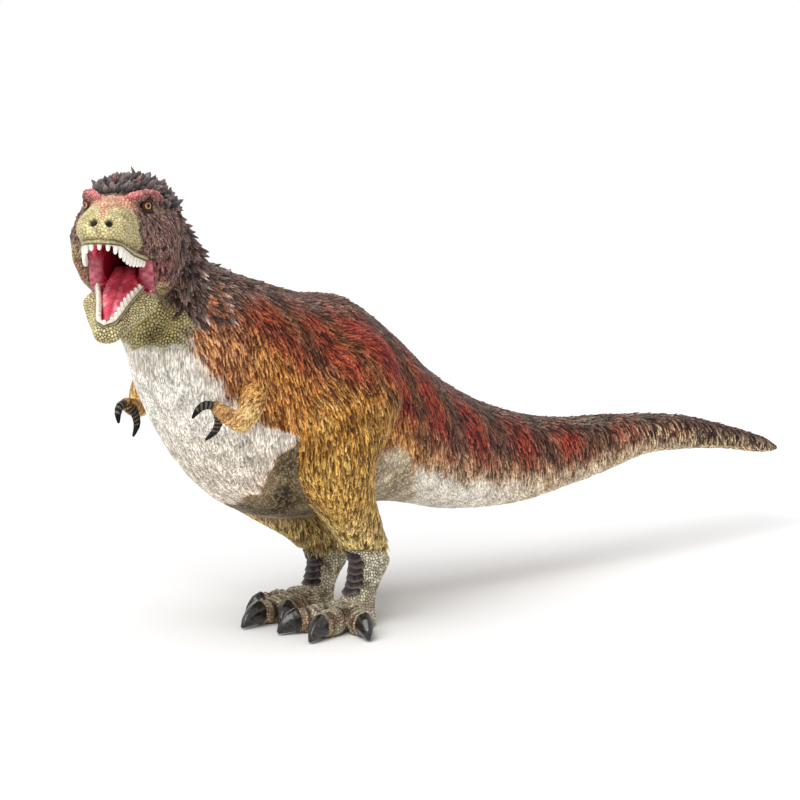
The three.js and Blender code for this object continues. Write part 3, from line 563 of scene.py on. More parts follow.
# Where the head is feathered, scaled or the lining of the mouth
upper_arch = np.interp(f, *UPPER_ARCH, left=9.2) - 0.9 * ramp(17, 20, f)
inside_mouth = in_head & (f > 0) & (k < 6.6) & (aside < upper_arch) & (
    (nk < -0.35) | (l * nl < -0.25 * aside))
pocket = in_head & (np.hypot(f, k) < 12.9) & (aside < 10.5) & ~(
    (aside > 9.2) & ((nf > 0.2) | (l * nl > 0)))
feather_edge = 23.5 + np.clip((k - 3) * 1.5, 0, 6.5) - 3.5 * ramp(11, 16, k) + 1.1 * wave(p, 7, 3)
snout = ramp(-0.9, 0.9, f - feather_edge) * in_head
throat_edge = np.interp(z, [90, 99, 105, 113, 118, 124], [-127, -126, -125.5, -126, -130, -136])
throat = ramp(1.6, -1.6, y - throat_edge + 1.6 * wave(p, 8, 5)) * ramp(
    -3, 3, z - 97.5 + 2.5 * wave(p, 9, 7)) * (k < 5) * ~inside_mouth * (1 - snout) * ramp(
        2.5, -2.5, z - 119 + 0.62 * (y + 140) + 1.8 * wave(p, 5, 8))

# Bare skin under the belly and behind the legs
white_edge = np.interp(
    z, [30, 45, 50, 60, 65.4, 68, 70, 72, 75, 80, 88, 97, 102, 112],
    [-98, -98.1, -98.6, -96.6, -90.5, -91, -96, -102, -106, -111, -118.7, -123.9, -126, -129])
to_white = white_edge - y + 1.6 * wave(p, 8, 11)
white = ramp(-2.6, 2.6, to_white) * ~on_leg
bare_front = ramp(-1.2, 1.2, -to_white) * ramp(67, 64, z + 0.8 * wave(p, 6, 17)) * (y < -60)
rear_edge = np.interp(z, [30, 36, 44, 50, 56, 60], [-22, -24, -30, -35, -39, -44])
bare_rear = ramp(1.5, -1.5, y - rear_edge + 1.4 * wave(p, 7, 13)) * ramp(61, 56, z) * (y >= -60)
bare = clamp(bare_front + bare_rear) * ~on_leg * ~in_head

# How the strands lie
steep = np.radians(74 - 52 * ramp(0.15, 0.95, n[:, 2]) - 66 * ramp(-0.35, -0.95, n[:, 2]))
flow = np.stack([np.zeros(len(p)), np.cos(steep), -np.sin(steep)], 1)
neck_flow = unit(-0.75 * FORWARD - 0.1 * UP)[None, :] + np.array([0, 0.25, -0.85]) * ramp(0.9, 0.1, nk)[:, None]
near_head = ramp(-22, 6, past_neck(p)) * ramp(0.25, -0.05, white * 0.3)
flow = mix(flow, unit(neck_flow), near_head * (1 - white))
flow = np.where(on_leg[:, None], mix(flow, np.array([0, 0.12, -1.0]), ramp(84, 66, z)), flow)
flow = unit(flow + 0.2 * np.stack([wave(p, 16, 111), wave(p, 13, 112), wave(p, 15, 113)], 1))
flow = along_surface(flow, n)

height, light, tone = strokes(p, n, flow, 1.0 if fine else 1.9, 5.2 - 2.4 * ramp(-2, 6, f) * in_head,
                              0.35 + 0.08 * near_head, 15)
beaded = (y < -108) | (bare > 0.01)
scale_height, scale_tone = np.full(len(p), 0.5), np.full(len(p), 0.5)
scale_height[beaded], scale_tone[beaded] = beads(p[beaded], 1.2)
tuft = wave(p, 7, 114)


def spread(values, low=0.06, high=0.94):
    a, b = np.quantile(values, [low, high])
    return clamp((values - a) / (b - a))


lit = spread(light * (0.35 + 0.65 * tone) + 0.06 * tuft, 0.1, 0.96)
bead = clamp(ramp(0.1, 0.85, scale_height) * (0.6 + 0.5 * scale_tone))
odd = tone * 7.31 % 1
pale_one, dark_one = ramp(0.8, 0.84, odd), ramp(0.2, 0.16, odd)


def strand(colours, shift=0.0):
    return blend(*colours, clamp(lit + shift) ** 1.5)


# Colours as they are seen, each from the grooves to the tips
OCHRE, OCHRE_AHEAD, OCHRE_BEHIND = (((100, 46, 10), (252, 178, 92)), ((92, 42, 22), (248, 184, 136)),
                                    ((96, 52, 34), (240, 194, 150)))
OCHRE_PALE, UPPER_PALE = ((74, 34, 12), (255, 214, 146)), ((40, 20, 18), (206, 160, 138))
RUST, DARK, BACK = ((34, 4, 6), (200, 80, 58)), ((14, 4, 4), (118, 72, 58)), ((8, 5, 5), (134, 112, 100))
WHITE, BELLY, PINKISH = (((200, 189, 174), (255, 251, 240)), ((166, 150, 132), (254, 246, 230)),
                         ((140, 84, 70), (232, 190, 170)))
CREAM, CREAM_TIP = ((158, 120, 84), (255, 241, 210)), (246, 218, 168)
BARE, PALE_BARE = ((54, 42, 28), (156, 138, 106)), ((138, 120, 94), (238, 220, 190))
LEG, UPPER_LEG, SHANK = (((94, 54, 10), (255, 202, 106)), ((64, 34, 6), (210, 144, 64)),
                         ((90, 56, 14), (255, 230, 154)))
KNEE, LEG_PALE = ((150, 122, 84), (206, 180, 140)), ((84, 50, 14), (255, 226, 150))
HEAD, HEAD_RED, HEAD_PALE = (((20, 9, 9), (182, 142, 130)), ((66, 28, 26), (170, 118, 98)),
                             ((40, 24, 24), (226, 190, 180)))
MANE, THROAT = ((16, 8, 8), (150, 122, 110)), ((52, 42, 18), (230, 212, 148))
SNOUT, BROW = ((84, 68, 34), (234, 220, 166)), ((118, 34, 42), (240, 156, 152))
FOREHEAD, FOREHEAD_RED = ((142, 76, 52), (248, 204, 170)), ((140, 50, 44), (226, 134, 112))
LIP, CHEEK_RIM, MOUTH = (((120, 96, 58), (196, 180, 130)), ((62, 24, 28), (186, 112, 110)),
                         ((140, 18, 40), (238, 96, 120)))
SOCKET_DARK, NOSTRIL_DARK, PALATE_SHADE = paint(34, 20, 20), paint(16, 11, 10), paint(52, 8, 16)

# The body: ochre flanks, rust stripes across a dark back, a white chest and a cream underside
band = np.interp(y, [-125, -103, -90, -75, -62, -45, -30, -14, 10, 38, 90, 176],
                 [16, 9.5, 8, 6, 6.5, 9.5, 11, 8.5, 6, 4.5, 3.5, 4]) + 1.6 * wave(p, 6, 21)
dark_back = ramp(3.5, -3.5, below_back - band)
slant = y - np.where(y < -35, 0.6, 0.37) * (below_back - 15)
stripe = np.zeros(len(p))
for middle, half, strength in ((-97, 9, 0.8), (-75, 6, 0.9), (-54, 10, 1), (-27, 8, 1), (-2, 8, 1), (27, 8, 1),
                               (54, 8, 1), (88, 9, 0.85), (116, 7, 0.7), (138, 5, 0.4)):
    stripe = np.maximum(stripe, strength * ramp(
        half + 4.5, half - 4.5, abs(slant - middle + 1.8 * wave(p, 5, middle + 300))))
rust_edge = np.interp(y, [-125, -111, -100, -89, -76, -58, -29, -5, 20, 50, 80, 110, 140, 176],
                      [104, 98.5, 95, 88, 81, 75, 57, 47, 42, 38, 39, 37, 34, 30])
upper = ramp(-8, 8, z - rust_edge + 2.6 * wave(p, 6, 31) + 3 * (0.5 - lit))
shadowed = upper * (1 - stripe) * np.interp(y, [-120, -100, -84, -60, 176], [0.3, 0.5, 0.95, 0.85, 0.95])
cream_edge = np.interp(y, [-45, -24, -7, 19, 47, 73, 91, 126, 150, 176],
                       [51, 48, 42, 38, 36, 38, 40, 38, 35, 30])
cream = ramp(5, -4, z - cream_edge + 1.6 * wave(p, 5, 37)) * (y > -50) * ~on_leg
tips = ramp(60, 105, y) * ramp(0.6, 0.7, odd) * ramp(0.3, 0.6, lit) * ramp(1.0, 5, below_back)
chest = coated(
    strand(WHITE, 0.26),
    (strand(BELLY, 0.16), ramp(80, 58, z)),
    (strand(PINKISH), ramp(0.75, 0.9, tone) * ramp(-9, -1, -to_white) * 0.5))
stipple = ramp(0.25, 0.75, scale_tone) * scale_height
mottle = clamp(0.15 + 0.7 * stipple + 0.3 * wave(p, 12, 41))
body = coated(
    strand(OCHRE),
    (strand(OCHRE_AHEAD), ramp(-96, -116, y) * 0.7),
    (strand(OCHRE_BEHIND), ramp(-50, -5, y)),
    (strand(RUST), upper * (0.4 + 0.6 * stripe) * ramp(-130, -114, y)),
    (strand(DARK), shadowed),
    (strand(BACK), dark_back * np.where(stripe > 0.5, 0.72, 0.94)),
    (strand(OCHRE_PALE), pale_one * (1 - upper) * 0.4),
    (strand(UPPER_PALE), pale_one * upper * (0.12 + 0.4 * dark_back)))
body = coated(
    body * (1 - 0.32 * dark_one)[:, None],
    (strand(CREAM, 0.08), cream * (0.3 + 0.7 * ramp(0.15, 0.6, lit + 0.6 * cream - 0.1))),
    (strand(WHITE, 0.2), ramp(0.5, 1, cream) * ramp(44, 2, y + 5 * wave(p, 7, 39)) * 0.8),
    (strand(DARK, -0.1), ramp(95, 140, y) * 0.8),
    (paint(*CREAM_TIP), clamp(0.8 * tips + 0.4 * cream * ramp(0.4, 0.7, lit) * (y > 95))),
    (chest, white * (0.25 + 0.75 * ramp(-0.1, 0.5, lit + white - 0.6))),
    (mix(blend(*BARE, mottle), blend(*PALE_BARE, mottle), ramp(-66, -48, y)), bare))

outer_knee = ramp(8, 3, abs(z - 37)) * (to_left >= to_right) * ramp(0.1, 0.6, n[:, 0]) * ramp(-50, -58, y)
leg = coated(
    strand(LEG),
    (strand(UPPER_LEG), ramp(48, 68, z) * ramp(104, 80, z) * (0.7 + 0.3 * wave(p, 14, 43))),
    (strand(SHANK, 0.05), ramp(46, 30, z) * 0.85),
    (blend(*KNEE, mottle), outer_knee * 0.8),
    (strand(LEG_PALE), pale_one * 0.4)) * (1 - 0.3 * dark_one)[:, None]
leg = mix(leg, body, ramp(66, 88, z + 0.15 * (y + 66)))

# The head: dark feathers, and a bare snout, brows and throat
speckle = clamp(0.55 * lit + 0.6 * bead * (scale_tone > 0.35))
crown = coated(
    strand(HEAD),
    (strand(MANE), ramp(4, -10, f)),
    (blend(*HEAD, speckle), ramp(2, 9, f)),
    (strand(HEAD_RED), ramp(0.1, 0.9, wave(p, 6, 45)) * ramp(24, 8, abs(f - 16)) * 0.6),
    (strand(HEAD_PALE), pale_one * 0.3)) * (1 - 0.4 * dark_one)[:, None]
mane = ramp(-22, -5, past_neck(p)) * ramp(20, 8, below_back)
low_neck = in_head * ramp(103, 99, z + 1.5 * wave(p, 5, 46))
chest_front = ramp(98.5, 95, z + 2.5 * wave(p, 6, 47)) * in_head * ramp(-120, -125, y)
throat_paint = blend(*THROAT, clamp(bead + 0.12 * wave(p, 9, 49))) * (0.85 + 0.15 * ramp(100, 122, z)[:, None])
snout_bead = clamp(0.2 + 0.7 * bead + 0.16 * wave(p, 5, 53) + 0.12 * ramp(32, 40, f))


def to_line(x, y, z, line):
    q = np.stack([x, y, z], 1)
    best = np.full(len(q), 1e9)
    for a, b in zip(line[:-1], line[1:]):
        t = clamp(((q - a) @ (b - a)) / ((b - a) @ (b - a)))
        best = np.minimum(best, norm(q - a - t[:, None] * (b - a)))
    return best


BROW_LINE = np.array([[27.3, 4.0, 16.6], [23.2, 6.2, 17.8], [18, 8.4, 18.9], [12.8, 10, 19.2],
                      [8.1, 10.7, 18.9]])
brow = ramp(2.3, 1.5, to_line(f, aside, k, BROW_LINE) + 0.5 * wave(p, 3, 55)) * in_head
brow = brow * ramp(16.2, 17, k)
wedge_width = np.interp(f, [22, 26, 31, 36, 41], [6.5, 6.4, 5.0, 2.6, 0.6])
wedge = ramp(1.4, -1.0, abs(l - 0.6) - wedge_width + 0.7 * wave(p, 3, 57)) * ramp(
    20, 25, f) * ramp(8.5, 10.5, k) * in_head
rosy = ramp(0.2, 0.8, wave(p, 2.5, 58))
eye_gap = norm(np.stack([f, aside, k], 1) - (EYE_FORWARD, EYE_OUT, EYE_UP))
socket = ramp(3.9, 3.0, eye_gap) * in_head
nostril_gap = np.minimum(*[norm(np.stack([(f - 43.4) * 0.6, l - side, (k - 8.6) * 0.95], 1))
                           for side in (3.1, -1.7)])
nostril = ramp(1.45, 1.05, nostril_gap) * in_head
lip_level = np.interp(f, [18, 24, 30, 36, 39, 43], [0.2, 0.6, 1.0, 2.4, 3.4, 3.6])
lip = ramp(0.75, 0.35, abs(k - lip_level)) * ~inside_mouth * ramp(12, 16, f) * in_head
mouth = (inside_mouth | pocket).astype(float)
rim = ramp(4.5, 11, f + 1.2 * wave(p, 3, 65)) * ramp(3, -2, k) * (np.hypot(f, k) < 16)
# The lining darkens on the downward-facing roof of the mouth: painted shade
lining = mix(blend(*MOUTH, clamp(0.3 + 0.02 * f + 0.2 * wave(p, 3, 59))), PALATE_SHADE,
             ramp(0.2, -0.6, nk) * ramp(4.0, 6.2, k) * 0.6)
# The pocket walls in the gap around the hinge are painted very dark, dark crimson above and dark olive below:
# painted shade
pocket_painted_shade = blend((48, 8, 16), (34, 28, 16), ramp(-3, -7, k))
colour = coated(
    np.where(on_leg[:, None], leg, body),
    (crown, np.maximum(in_head * (1 - low_neck), mane * 0.85) * (1 - white * ~in_head)),
    (strand(WHITE, 0.1), chest_front),
    (throat_paint, throat * (1 - chest_front)),
    (blend(*SNOUT, snout_bead), snout),
    (mix(blend(*FOREHEAD, bead), blend(*FOREHEAD_RED, bead), rosy * 0.55), wedge * 0.9),
    # The brow is painted paler where it faces up: a painted highlight
    (blend(*BROW, clamp(0.75 * bead + 0.3 * ramp(0.2, 0.9, nk))), brow),
    (SOCKET_DARK, socket * 0.85),
    (NOSTRIL_DARK, nostril),
    (blend(*LIP, bead), lip * 0.5),
    (blend(*CHEEK_RIM, lit), rim * 0.7 * in_head * (1 - snout)),
    (lining, mouth),
    (pocket_painted_shade, (pocket & ~inside_mouth) * (0.7 + 0.3 * ramp(-3, -7, k))))

scaled = clamp(throat + snout + brow + wedge)
relief = (height - 0.45) * (0.62 + 0.1 * near_head) + 0.14 * tuft * ~in_head
relief = relief * (1 - clamp(scaled + bare)) + (scale_height - 0.5) * 0.26 * scaled
relief = relief + brow * 0.3 * wave(p, 2.2, 61) - 0.12 * bare * (1 - stipple)
relief = relief * (1 - mouth) * (1 - socket) - nostril * 1.3
wrinkle = np.sin((f + 0.35 * k) * 2.4 + 2 * wave(p, 5, 67)) * snout * ramp(
    36, 27, f) * ramp(16, 9, k) * 0.16
final = p + n * (relief + wrinkle)[:, None]
wetness = clamp(mouth + nostril * 0.4)

# The skin is parted along the moulded pieces' own seams, and each part is closed behind
faces = hide_skin.f
face_head, face_tail, face_leg = (mask[faces].sum(1) >= 2 for mask in (in_head, in_tail, on_leg))
on_left = p[faces[:, 0], 0] > OFFSET[0]
TORSO = ("torso_left_shell", "torso_right_shell")
for name, mask, nodes, slot, material in (
        ("head_skin", face_head, ("head",), "head_skin", hide),
        ("tail_skin", face_tail & ~face_head, ("tail",), "tail_plumage", plumage),
        ("left_leg_skin", face_leg & on_left, ("left_leg",), "leg_plumage", plumage),
        ("right_leg_skin", face_leg & ~on_left, ("right_leg",), "leg_plumage", plumage),
        ("trunk_skin", ~(face_head | face_tail | face_leg), TORSO, "trunk_plumage", plumage)):
    used = np.unique(faces[mask])
    index = np.zeros(len(final), np.int64)
    index[used] = np.arange(len(used))
    own = index[faces[mask]]
    whole, fans = capped(final[used], own)
    extra = len(whole) - len(used)
    tints = np.vstack([colour[used], np.full((extra, 3), 0.02)])
    wet = np.append(wetness[used], np.zeros(extra))
    thing = piece(name, whole, own, tints, wet, material, slot, nodes, fans=fans)
    if name == "head_skin":
        thing.data.materials.append(plumage)
        feathered = np.zeros(len(thing.data.polygons), np.int32)
        feathered[:len(own)] = (scaled + mouth + socket)[faces[mask]].mean(1) < 0.5
        thing.data.polygons.foreach_set("material_index", feathered)


# --- lower jaw ---
def jaw_skin():
    skin = even_skin(node_form("lower_jaw"), 0.28 if fine else 0.6)
    f, l, k = jaw_places(skin.p)
    skin.smooth(18 if fine else 5, np.where(np.hypot(f, k) < 12.5, 0.12, 0.45))
    # The barrel is widened and thickened, to narrow the gaps around the hinge
    skin.p = skin.p + (0.65 * np.sign(l) * ramp(7, 9, abs(l)) * (np.hypot(f, k) < 11.9))[:, None] * LEFT
    f, l, k = jaw_places(skin.p)
    radius = np.maximum(np.hypot(f, k), 1)
    push = 0.45 * ramp(9.8, 10.8, radius) * ramp(14, 11.8, radius) / radius
    skin.p = skin.p + (push * f)[:, None] * JAW_FORWARD + (push * k)[:, None] * JAW_UP
    skin.renew()
    p, n = skin.p, skin.n
    f, l, k = jaw_places(p)
    out, n_left, n_up = abs(l), n @ LEFT, n @ JAW_UP
    h, t = beads(p, 1.2)
    bead = clamp(ramp(0.1, 0.85, h) * (0.55 + 0.55 * t))
    inner = ((n_up > 0.25) | (l * n_left < -0.2 * out)) & (k > -6.5) & (f > 4) & (
        out < np.interp(f, *LOWER_ARCH, left=8.8) - 0.2)
    barrel = np.hypot(f, k) < 12.2
    throat_side = barrel & (f > -2) & (k > -5)
    barrel_paint = mix(blend((60, 6, 16), (160, 26, 50), ramp(0, 6, out)),
                       blend((168, 62, 84), (232, 146, 160), clamp(0.5 + 0.4 * wave(p, 2.2, 73))),
                       ramp(5.2, 7.2, out) * throat_side)
    colour = coated(
        blend((74, 60, 28), (238, 224, 170), clamp(bead + 0.1 * wave(p, 7, 69))),
        (blend((58, 50, 28), (196, 184, 134), bead), ramp(-4.5, -8.5, k) * 0.55),
        (blend((96, 6, 22), (180, 34, 62), clamp(0.45 + 0.3 * wave(p, 2.5, 71) + 0.02 * f)), inner),
        (barrel_paint, throat_side),
        (blend((84, 44, 44), (170, 118, 106), bead), (barrel & (abs(n_left) > 0.6) & (out > 8)) * 0.8))
    wet = (inner | throat_side).astype(float)
    p = p + n * ((h - 0.5) * 0.2 * (1 - wet) * ~barrel + 0.05 * wet * wave(p, 1.6, 79))[:, None]
    piece("lower_jaw_skin", p, skin.f, colour, wet, scaly, "jaw_skin", ["lower_jaw"], "jaw")


jaw_skin()

# --- arms and feet ---
ARM_LENGTH, SHOULDER_OUT, SHOULDER_ALONG, SHOULDER_UP = 24.0, 19.4975, -45, 84
FINGERS = [[[0.15, 0.57, -0.13], [0.1, 0.7, -0.1], [0.06, 0.8, -0.16], [0.02, 0.86, -0.27]],
           [[0.14, 0.56, -0.15], [0.12, 0.5, -0.31], [0.09, 0.54, -0.46], [0.06, 0.68, -0.56]]]


def arm_paint(part, side, drop):
    p, n = part.p, part.n

    def place(share):
        x, y, z = side * share[0] * ARM_LENGTH, -share[1] * ARM_LENGTH, share[2] * ARM_LENGTH
        c, s = math.cos(drop), math.sin(drop)
        turned = [x + side * SHOULDER_OUT, y * c - z * s + SHOULDER_ALONG, y * s + z * c + SHOULDER_UP]
        return np.array(turned) + OFFSET

    fingers = [np.array([place(share) for share in finger]) for finger in FINGERS]
    to_finger = np.minimum(*[to_line(*p.T, line) for line in fingers])
    tips = np.minimum(*[norm(p - line[-1]) for line in fingers])
    from_wrist = norm(p - place([0.15, 0.57, -0.14]))
    from_elbow = norm(p - place([0.32, 0.24, -0.3]))
    hand = ramp(1.9, 1.5, to_finger) * ramp(1.2, 2.4, from_wrist)
    flow = along_surface(np.tile(unit(place([0.22, 0.45, -0.25]) - place([0.3, 0.0, 0.0])), (len(p), 1)), n)
    h, light, t = strokes(p, n, flow, 0.9, np.full(len(p), 3.4), np.full(len(p), 0.4), 12)
    light = spread(light * (0.4 + 0.6 * t))
    forearm = ramp(9, 4, from_wrist)
    rings = 0.5 + 0.5 * np.sin(from_wrist * 5.2)
    claw = ramp(3.3, 2.7, tips)
    dark = coated(blend((26, 22, 22), (120, 110, 96), ramp(0.45, 0.95, rings) * 0.7), (paint(22, 20, 20), claw))
    colour = coated(
        blend((74, 38, 12), (244, 184, 108), light),
        (blend((176, 126, 66), (248, 220, 160), light), ramp(7.5, 3, from_elbow) * 0.9),
        (blend((108, 72, 42), (206, 164, 116), light), forearm * 0.6),
        (dark, hand))
    lift = (h - 0.45) * 0.4 * (1 - hand) * (1 - 0.4 * forearm)
    return colour, lift + hand * (0.22 + (1 - claw) * 0.12 * (rings - 0.5)), claw * 0.9


# Each foot: middle and height of its ankle, how far in and ahead of it the toes start, and angle and
# length of each toe
FEET = {"left": (0.32, 0.092, LEFT_ANKLE, 0.1, 0.12, ((-15, 0.95), (19, 1.0), (61, 0.82))),
        "right": (-0.203, 0.153, RIGHT_ANKLE, 0.03, 0.24, ((-25, 0.89), (-6, 1.17), (24, 0.78)))}
TOE_LENGTH, TOE_HEIGHT, CLAW_THICKNESS = 28.0, 9.6, 6.0


def toe_frames(name):
    side = 1 if name == "left" else -1
    out, behind, ankle, inward, ahead, toes = FEET[name]
    middle = np.array([out * BODY_WIDTH, behind * LEG_HEIGHT, 0]) + OFFSET
    base = np.array([middle[0] - side * inward * ankle, middle[1] - ahead * ankle, 0.0])
    for degrees, share in toes:
        angle = math.radians(degrees)
        yield base, np.array([side * math.sin(angle), -math.cos(angle), 0.0]), share * TOE_LENGTH


def foot_paint(part, name):
    p, n = part.p, part.n
    z = p[:, 2]
    h, t = beads(p, 1.15)
    bead = clamp(ramp(0.1, 0.8, h) * (0.35 + 0.75 * t))
    worn, stain = clamp(0.3 + 0.9 * wave(p, 10, 83)), ramp(0.25, 0.8, wave(p, 5, 84))
    roll = ramp(3.2, 1.2, abs(z - 10.5)) * ramp(0.2, -0.4, n[:, 1])
    skin = coated(
        blend((34, 26, 18), (255, 247, 214), clamp(bead + 0.06)),
        (blend((44, 28, 22), (180, 142, 114), bead), worn * 0.8 * ramp(27, 16, z)),
        (blend((26, 18, 14), (120, 94, 72), bead), stain * ramp(24, 12, z) * 0.7),
        (blend((90, 80, 56), (250, 244, 220), bead), roll * 0.7))
    lift = (h - 0.5) * 0.34
    for base, direction, length in toe_frames(name):
        q = p - base
        a = (q @ direction) / length
        b = abs(q @ np.array([-direction[1], direction[0], 0]))
        on_toe = ramp(5.6, 4.4, b) * ramp(0.22, 0.32, a) * ramp(9.8, 8.8, z)
        top = on_toe * ramp(3.0, 2.2, b) * ramp(0.25, 0.6, n[:, 2]) * ramp(0.72, 0.66, a)
        rows = 0.5 + 0.5 * np.sin(a * length * 2 * np.pi / 2.1)
        tan = on_toe * ramp(0.5, 0.66, a) * ramp(0.78, 0.7, a)
        folds = on_toe * (ramp(0.05, 0.0, abs(a - 0.36)) + ramp(0.05, 0.0, abs(a - 0.62)))
        near_claw = ramp(5, 4, b)
        skin = coated(
            skin,
            (blend((44, 36, 30), (186, 168, 140), ramp(0.3, 0.9, rows)), top * 0.5),
            (blend((112, 78, 50), (226, 188, 146), bead), tan * (1 - top) * 0.5),
            # Dark paint in the knuckle folds: painted shade
            (paint(40, 30, 24), folds * 0.75),
            (paint(26, 24, 24), ramp(0.735, 0.77, a) * near_claw))
        lift = lift * (1 - 0.5 * top) + top * 0.3 * (rows - 0.35) - 0.35 * folds
        lift = lift * (1 - ramp(0.7, 0.74, a)) - 0.4 * ramp(0.72, 0.76, a) * near_claw
    skin = mix(skin, blend((88, 72, 50), (220, 200, 158), bead), ramp(3.2, 0.5, z) * 0.4)
    return skin, lift * ramp(0.15, 0.9, z), 0.0


# Along each claw: share of the toe's length, height, half width and half height
CLAW = [[0.725, 0.46, 0.38, 0.5], [0.745, 0.462, 0.52, 0.68], [0.79, 0.44, 0.49, 0.635],
        [0.84, 0.4, 0.425, 0.55], [0.94, 0.245, 0.26, 0.33], [1.005, 0.1, 0.09, 0.09]]


def claws(name):
    parts, colours = [], []
    for base, direction, length in toe_frames(name):
        places = [base + direction * (s[0] * length) + np.array([0, 0, s[1] * TOE_HEIGHT]) for s in CLAW]
        halves = [s[2] * CLAW_THICKNESS for s in CLAW]
        rises = [min(s[3] * CLAW_THICKNESS, place[2] - 0.05) for s, place in zip(CLAW, places)]
        points, faces = tube(places, halves, rises, 36, 6,
                             lambda angle: 1 + 0.03 * np.cos(7 * angle) + 0.03 * np.sin(angle))
        points[:, 2] = np.maximum(points[:, 2], 0.03)
        parts.append((points, faces))
        a = ((points - base) @ direction) / length
        # Lighter lengthwise streaks on the black claws are painted highlights
        highlight_streak = 0.5 + 0.5 * wave(points * np.array([1.6, 0.5, 1.2]), 1.6, 91)
        colours.append(blend((14, 13, 13), (84, 76, 66), 0.5 * highlight_streak ** 2 + 0.25 * ramp(0.78, 0.73, a)))
    points, faces = joined(parts)
    piece(name + "_claws", points, faces, np.vstack(colours), 1.0, horn, "foot_skin")


def scutes(name, part):
    # Horny plates down the front of the foot, each lapping over the next
    tree = bvhtree.BVHTree.FromPolygons(part.p.tolist(), part.f.tolist())
    ankle = FEET[name][2]
    parts, colours = [], []
    for i, top in enumerate(np.arange(ankle - 1.0, 0.5 * ankle, -2.35)):
        near = part.p[abs(part.p[:, 2] - top + 1.2) < 0.5]
        foremost = near[:, 1].min()
        front = near[near[:, 1] < foremost + 5]
        centre = (front[:, 0].min() + front[:, 0].max()) / 2 + 0.3 * math.sin(2.1 * i)
        half, tall = 3.3 + 0.12 * i, 3.1
        rings, shades = [], []
        for v in np.linspace(0, 1, 8):
            outer, inner = [], []
            for u in np.linspace(-1, 1, 13):
                across = centre + u * half * (0.86 + 0.2 * v - 0.08 * v * v)
                z = top - v * tall + 1.1 * u * u * v + 0.08 * math.sin(5 * u + i)
                place, away = tree.ray_cast((across, -200.0, z), (0, 1, 0))[:2]
                place, away = np.array(place or (across, foremost, z)), np.array(away or (0, -1.0, 0))
                place[1] = max(place[1], foremost - 0.6)
                crest = (1 - abs(u) ** 4) * (0.12 + 0.75 * v ** 1.3)
                outer.append(place + away * (crest + 0.3 * min(1, 6 * (1 - abs(u)) + 0.5)))
                inner.append(place - away * 0.5)
            rings.append(np.array(outer + inner[::-1]))
            # Each plate is painted lighter towards its raised lower edge: a painted highlight
            shades.append(np.full(len(rings[-1]), 0.1 + 0.65 * ramp(0.55, 1.0, v)))
        points, faces = skin_over(rings)
        parts.append((points, faces))
        shade = clamp(np.concatenate([*shades, [0.1, 0.5]]) + 0.2 * wave(points, 1.4, 95 + i))
        colours.append(blend((20, 15, 17), (120, 104, 100), shade))
    points, faces = joined(parts)
    piece(name + "_scutes", points, faces, np.vstack(colours), 0.45, scaly, "foot_skin")


def limb(node, body, voxel, times, painter, detail, material, slot):
    part = even_skin(node_form(node), voxel if fine else 2 * voxel)
    part.smooth(times if fine else times // 3, 0.45)
    colour, lift, wet = painter(part, *detail)
    points = part.p + part.n * lift[:, None]
    piece(node + "_skin", points, part.f, colour, wet, material, slot, [node], body)
    return part


for name, side, drop in (("left", 1, 0.0), ("right", -1, math.radians(20))):
    limb(name + "_arm", name + "_forelimb", 0.26, 14, arm_paint, (side, drop), plumage, "arm_skin")
for name in ("left", "right"):
    scutes(name, limb(name + "_foot", "figure", 0.32, 12, foot_paint, (name,), scaly, "foot_skin"))
    claws(name)

# --- teeth, tongue and eyes ---
def teeth(node, body, to_local, arch):
    part = even_skin(node_form(node), 0.16 if fine else 0.3)
    part.smooth(5 if fine else 2, 0.45)
    f, l, k = to_local(part.p)
    gum_line = np.interp(f, [18, 24, 30, 36, 39, 43], [0.6, 1.0, 1.5, 2.8, 3.7, 3.9]) - 1.8
    from_root = gum_line - k if body == "figure" else k - 0.45
    outside = ramp(-0.2, 0.2, np.where(f > arch[0][-2], 1, abs(l) - np.interp(f, *arch)))
    gum = coated(
        paint(122, 26, 44),
        (blend((150, 138, 96), (214, 204, 156), 0.5 + 0.5 * wave(part.p, 1.1, 93)), outside),
        (paint(44, 30, 24), ramp(-0.75, -0.3, from_root) * 0.85))
    ivory = blend((252, 249, 238), (216, 200, 160), ramp(1.2, 0.0, from_root) * 0.6)
    colour = mix(ivory, gum, ramp(0.12, -0.12, from_root))
    colour = colour * (1 - 0.06 * (0.5 + 0.5 * wave(part.p, 1.5, 97)))[:, None]
    piece(node + "_enamel", part.p, part.f, colour, 1.0, enamel, "teeth", [node], body)


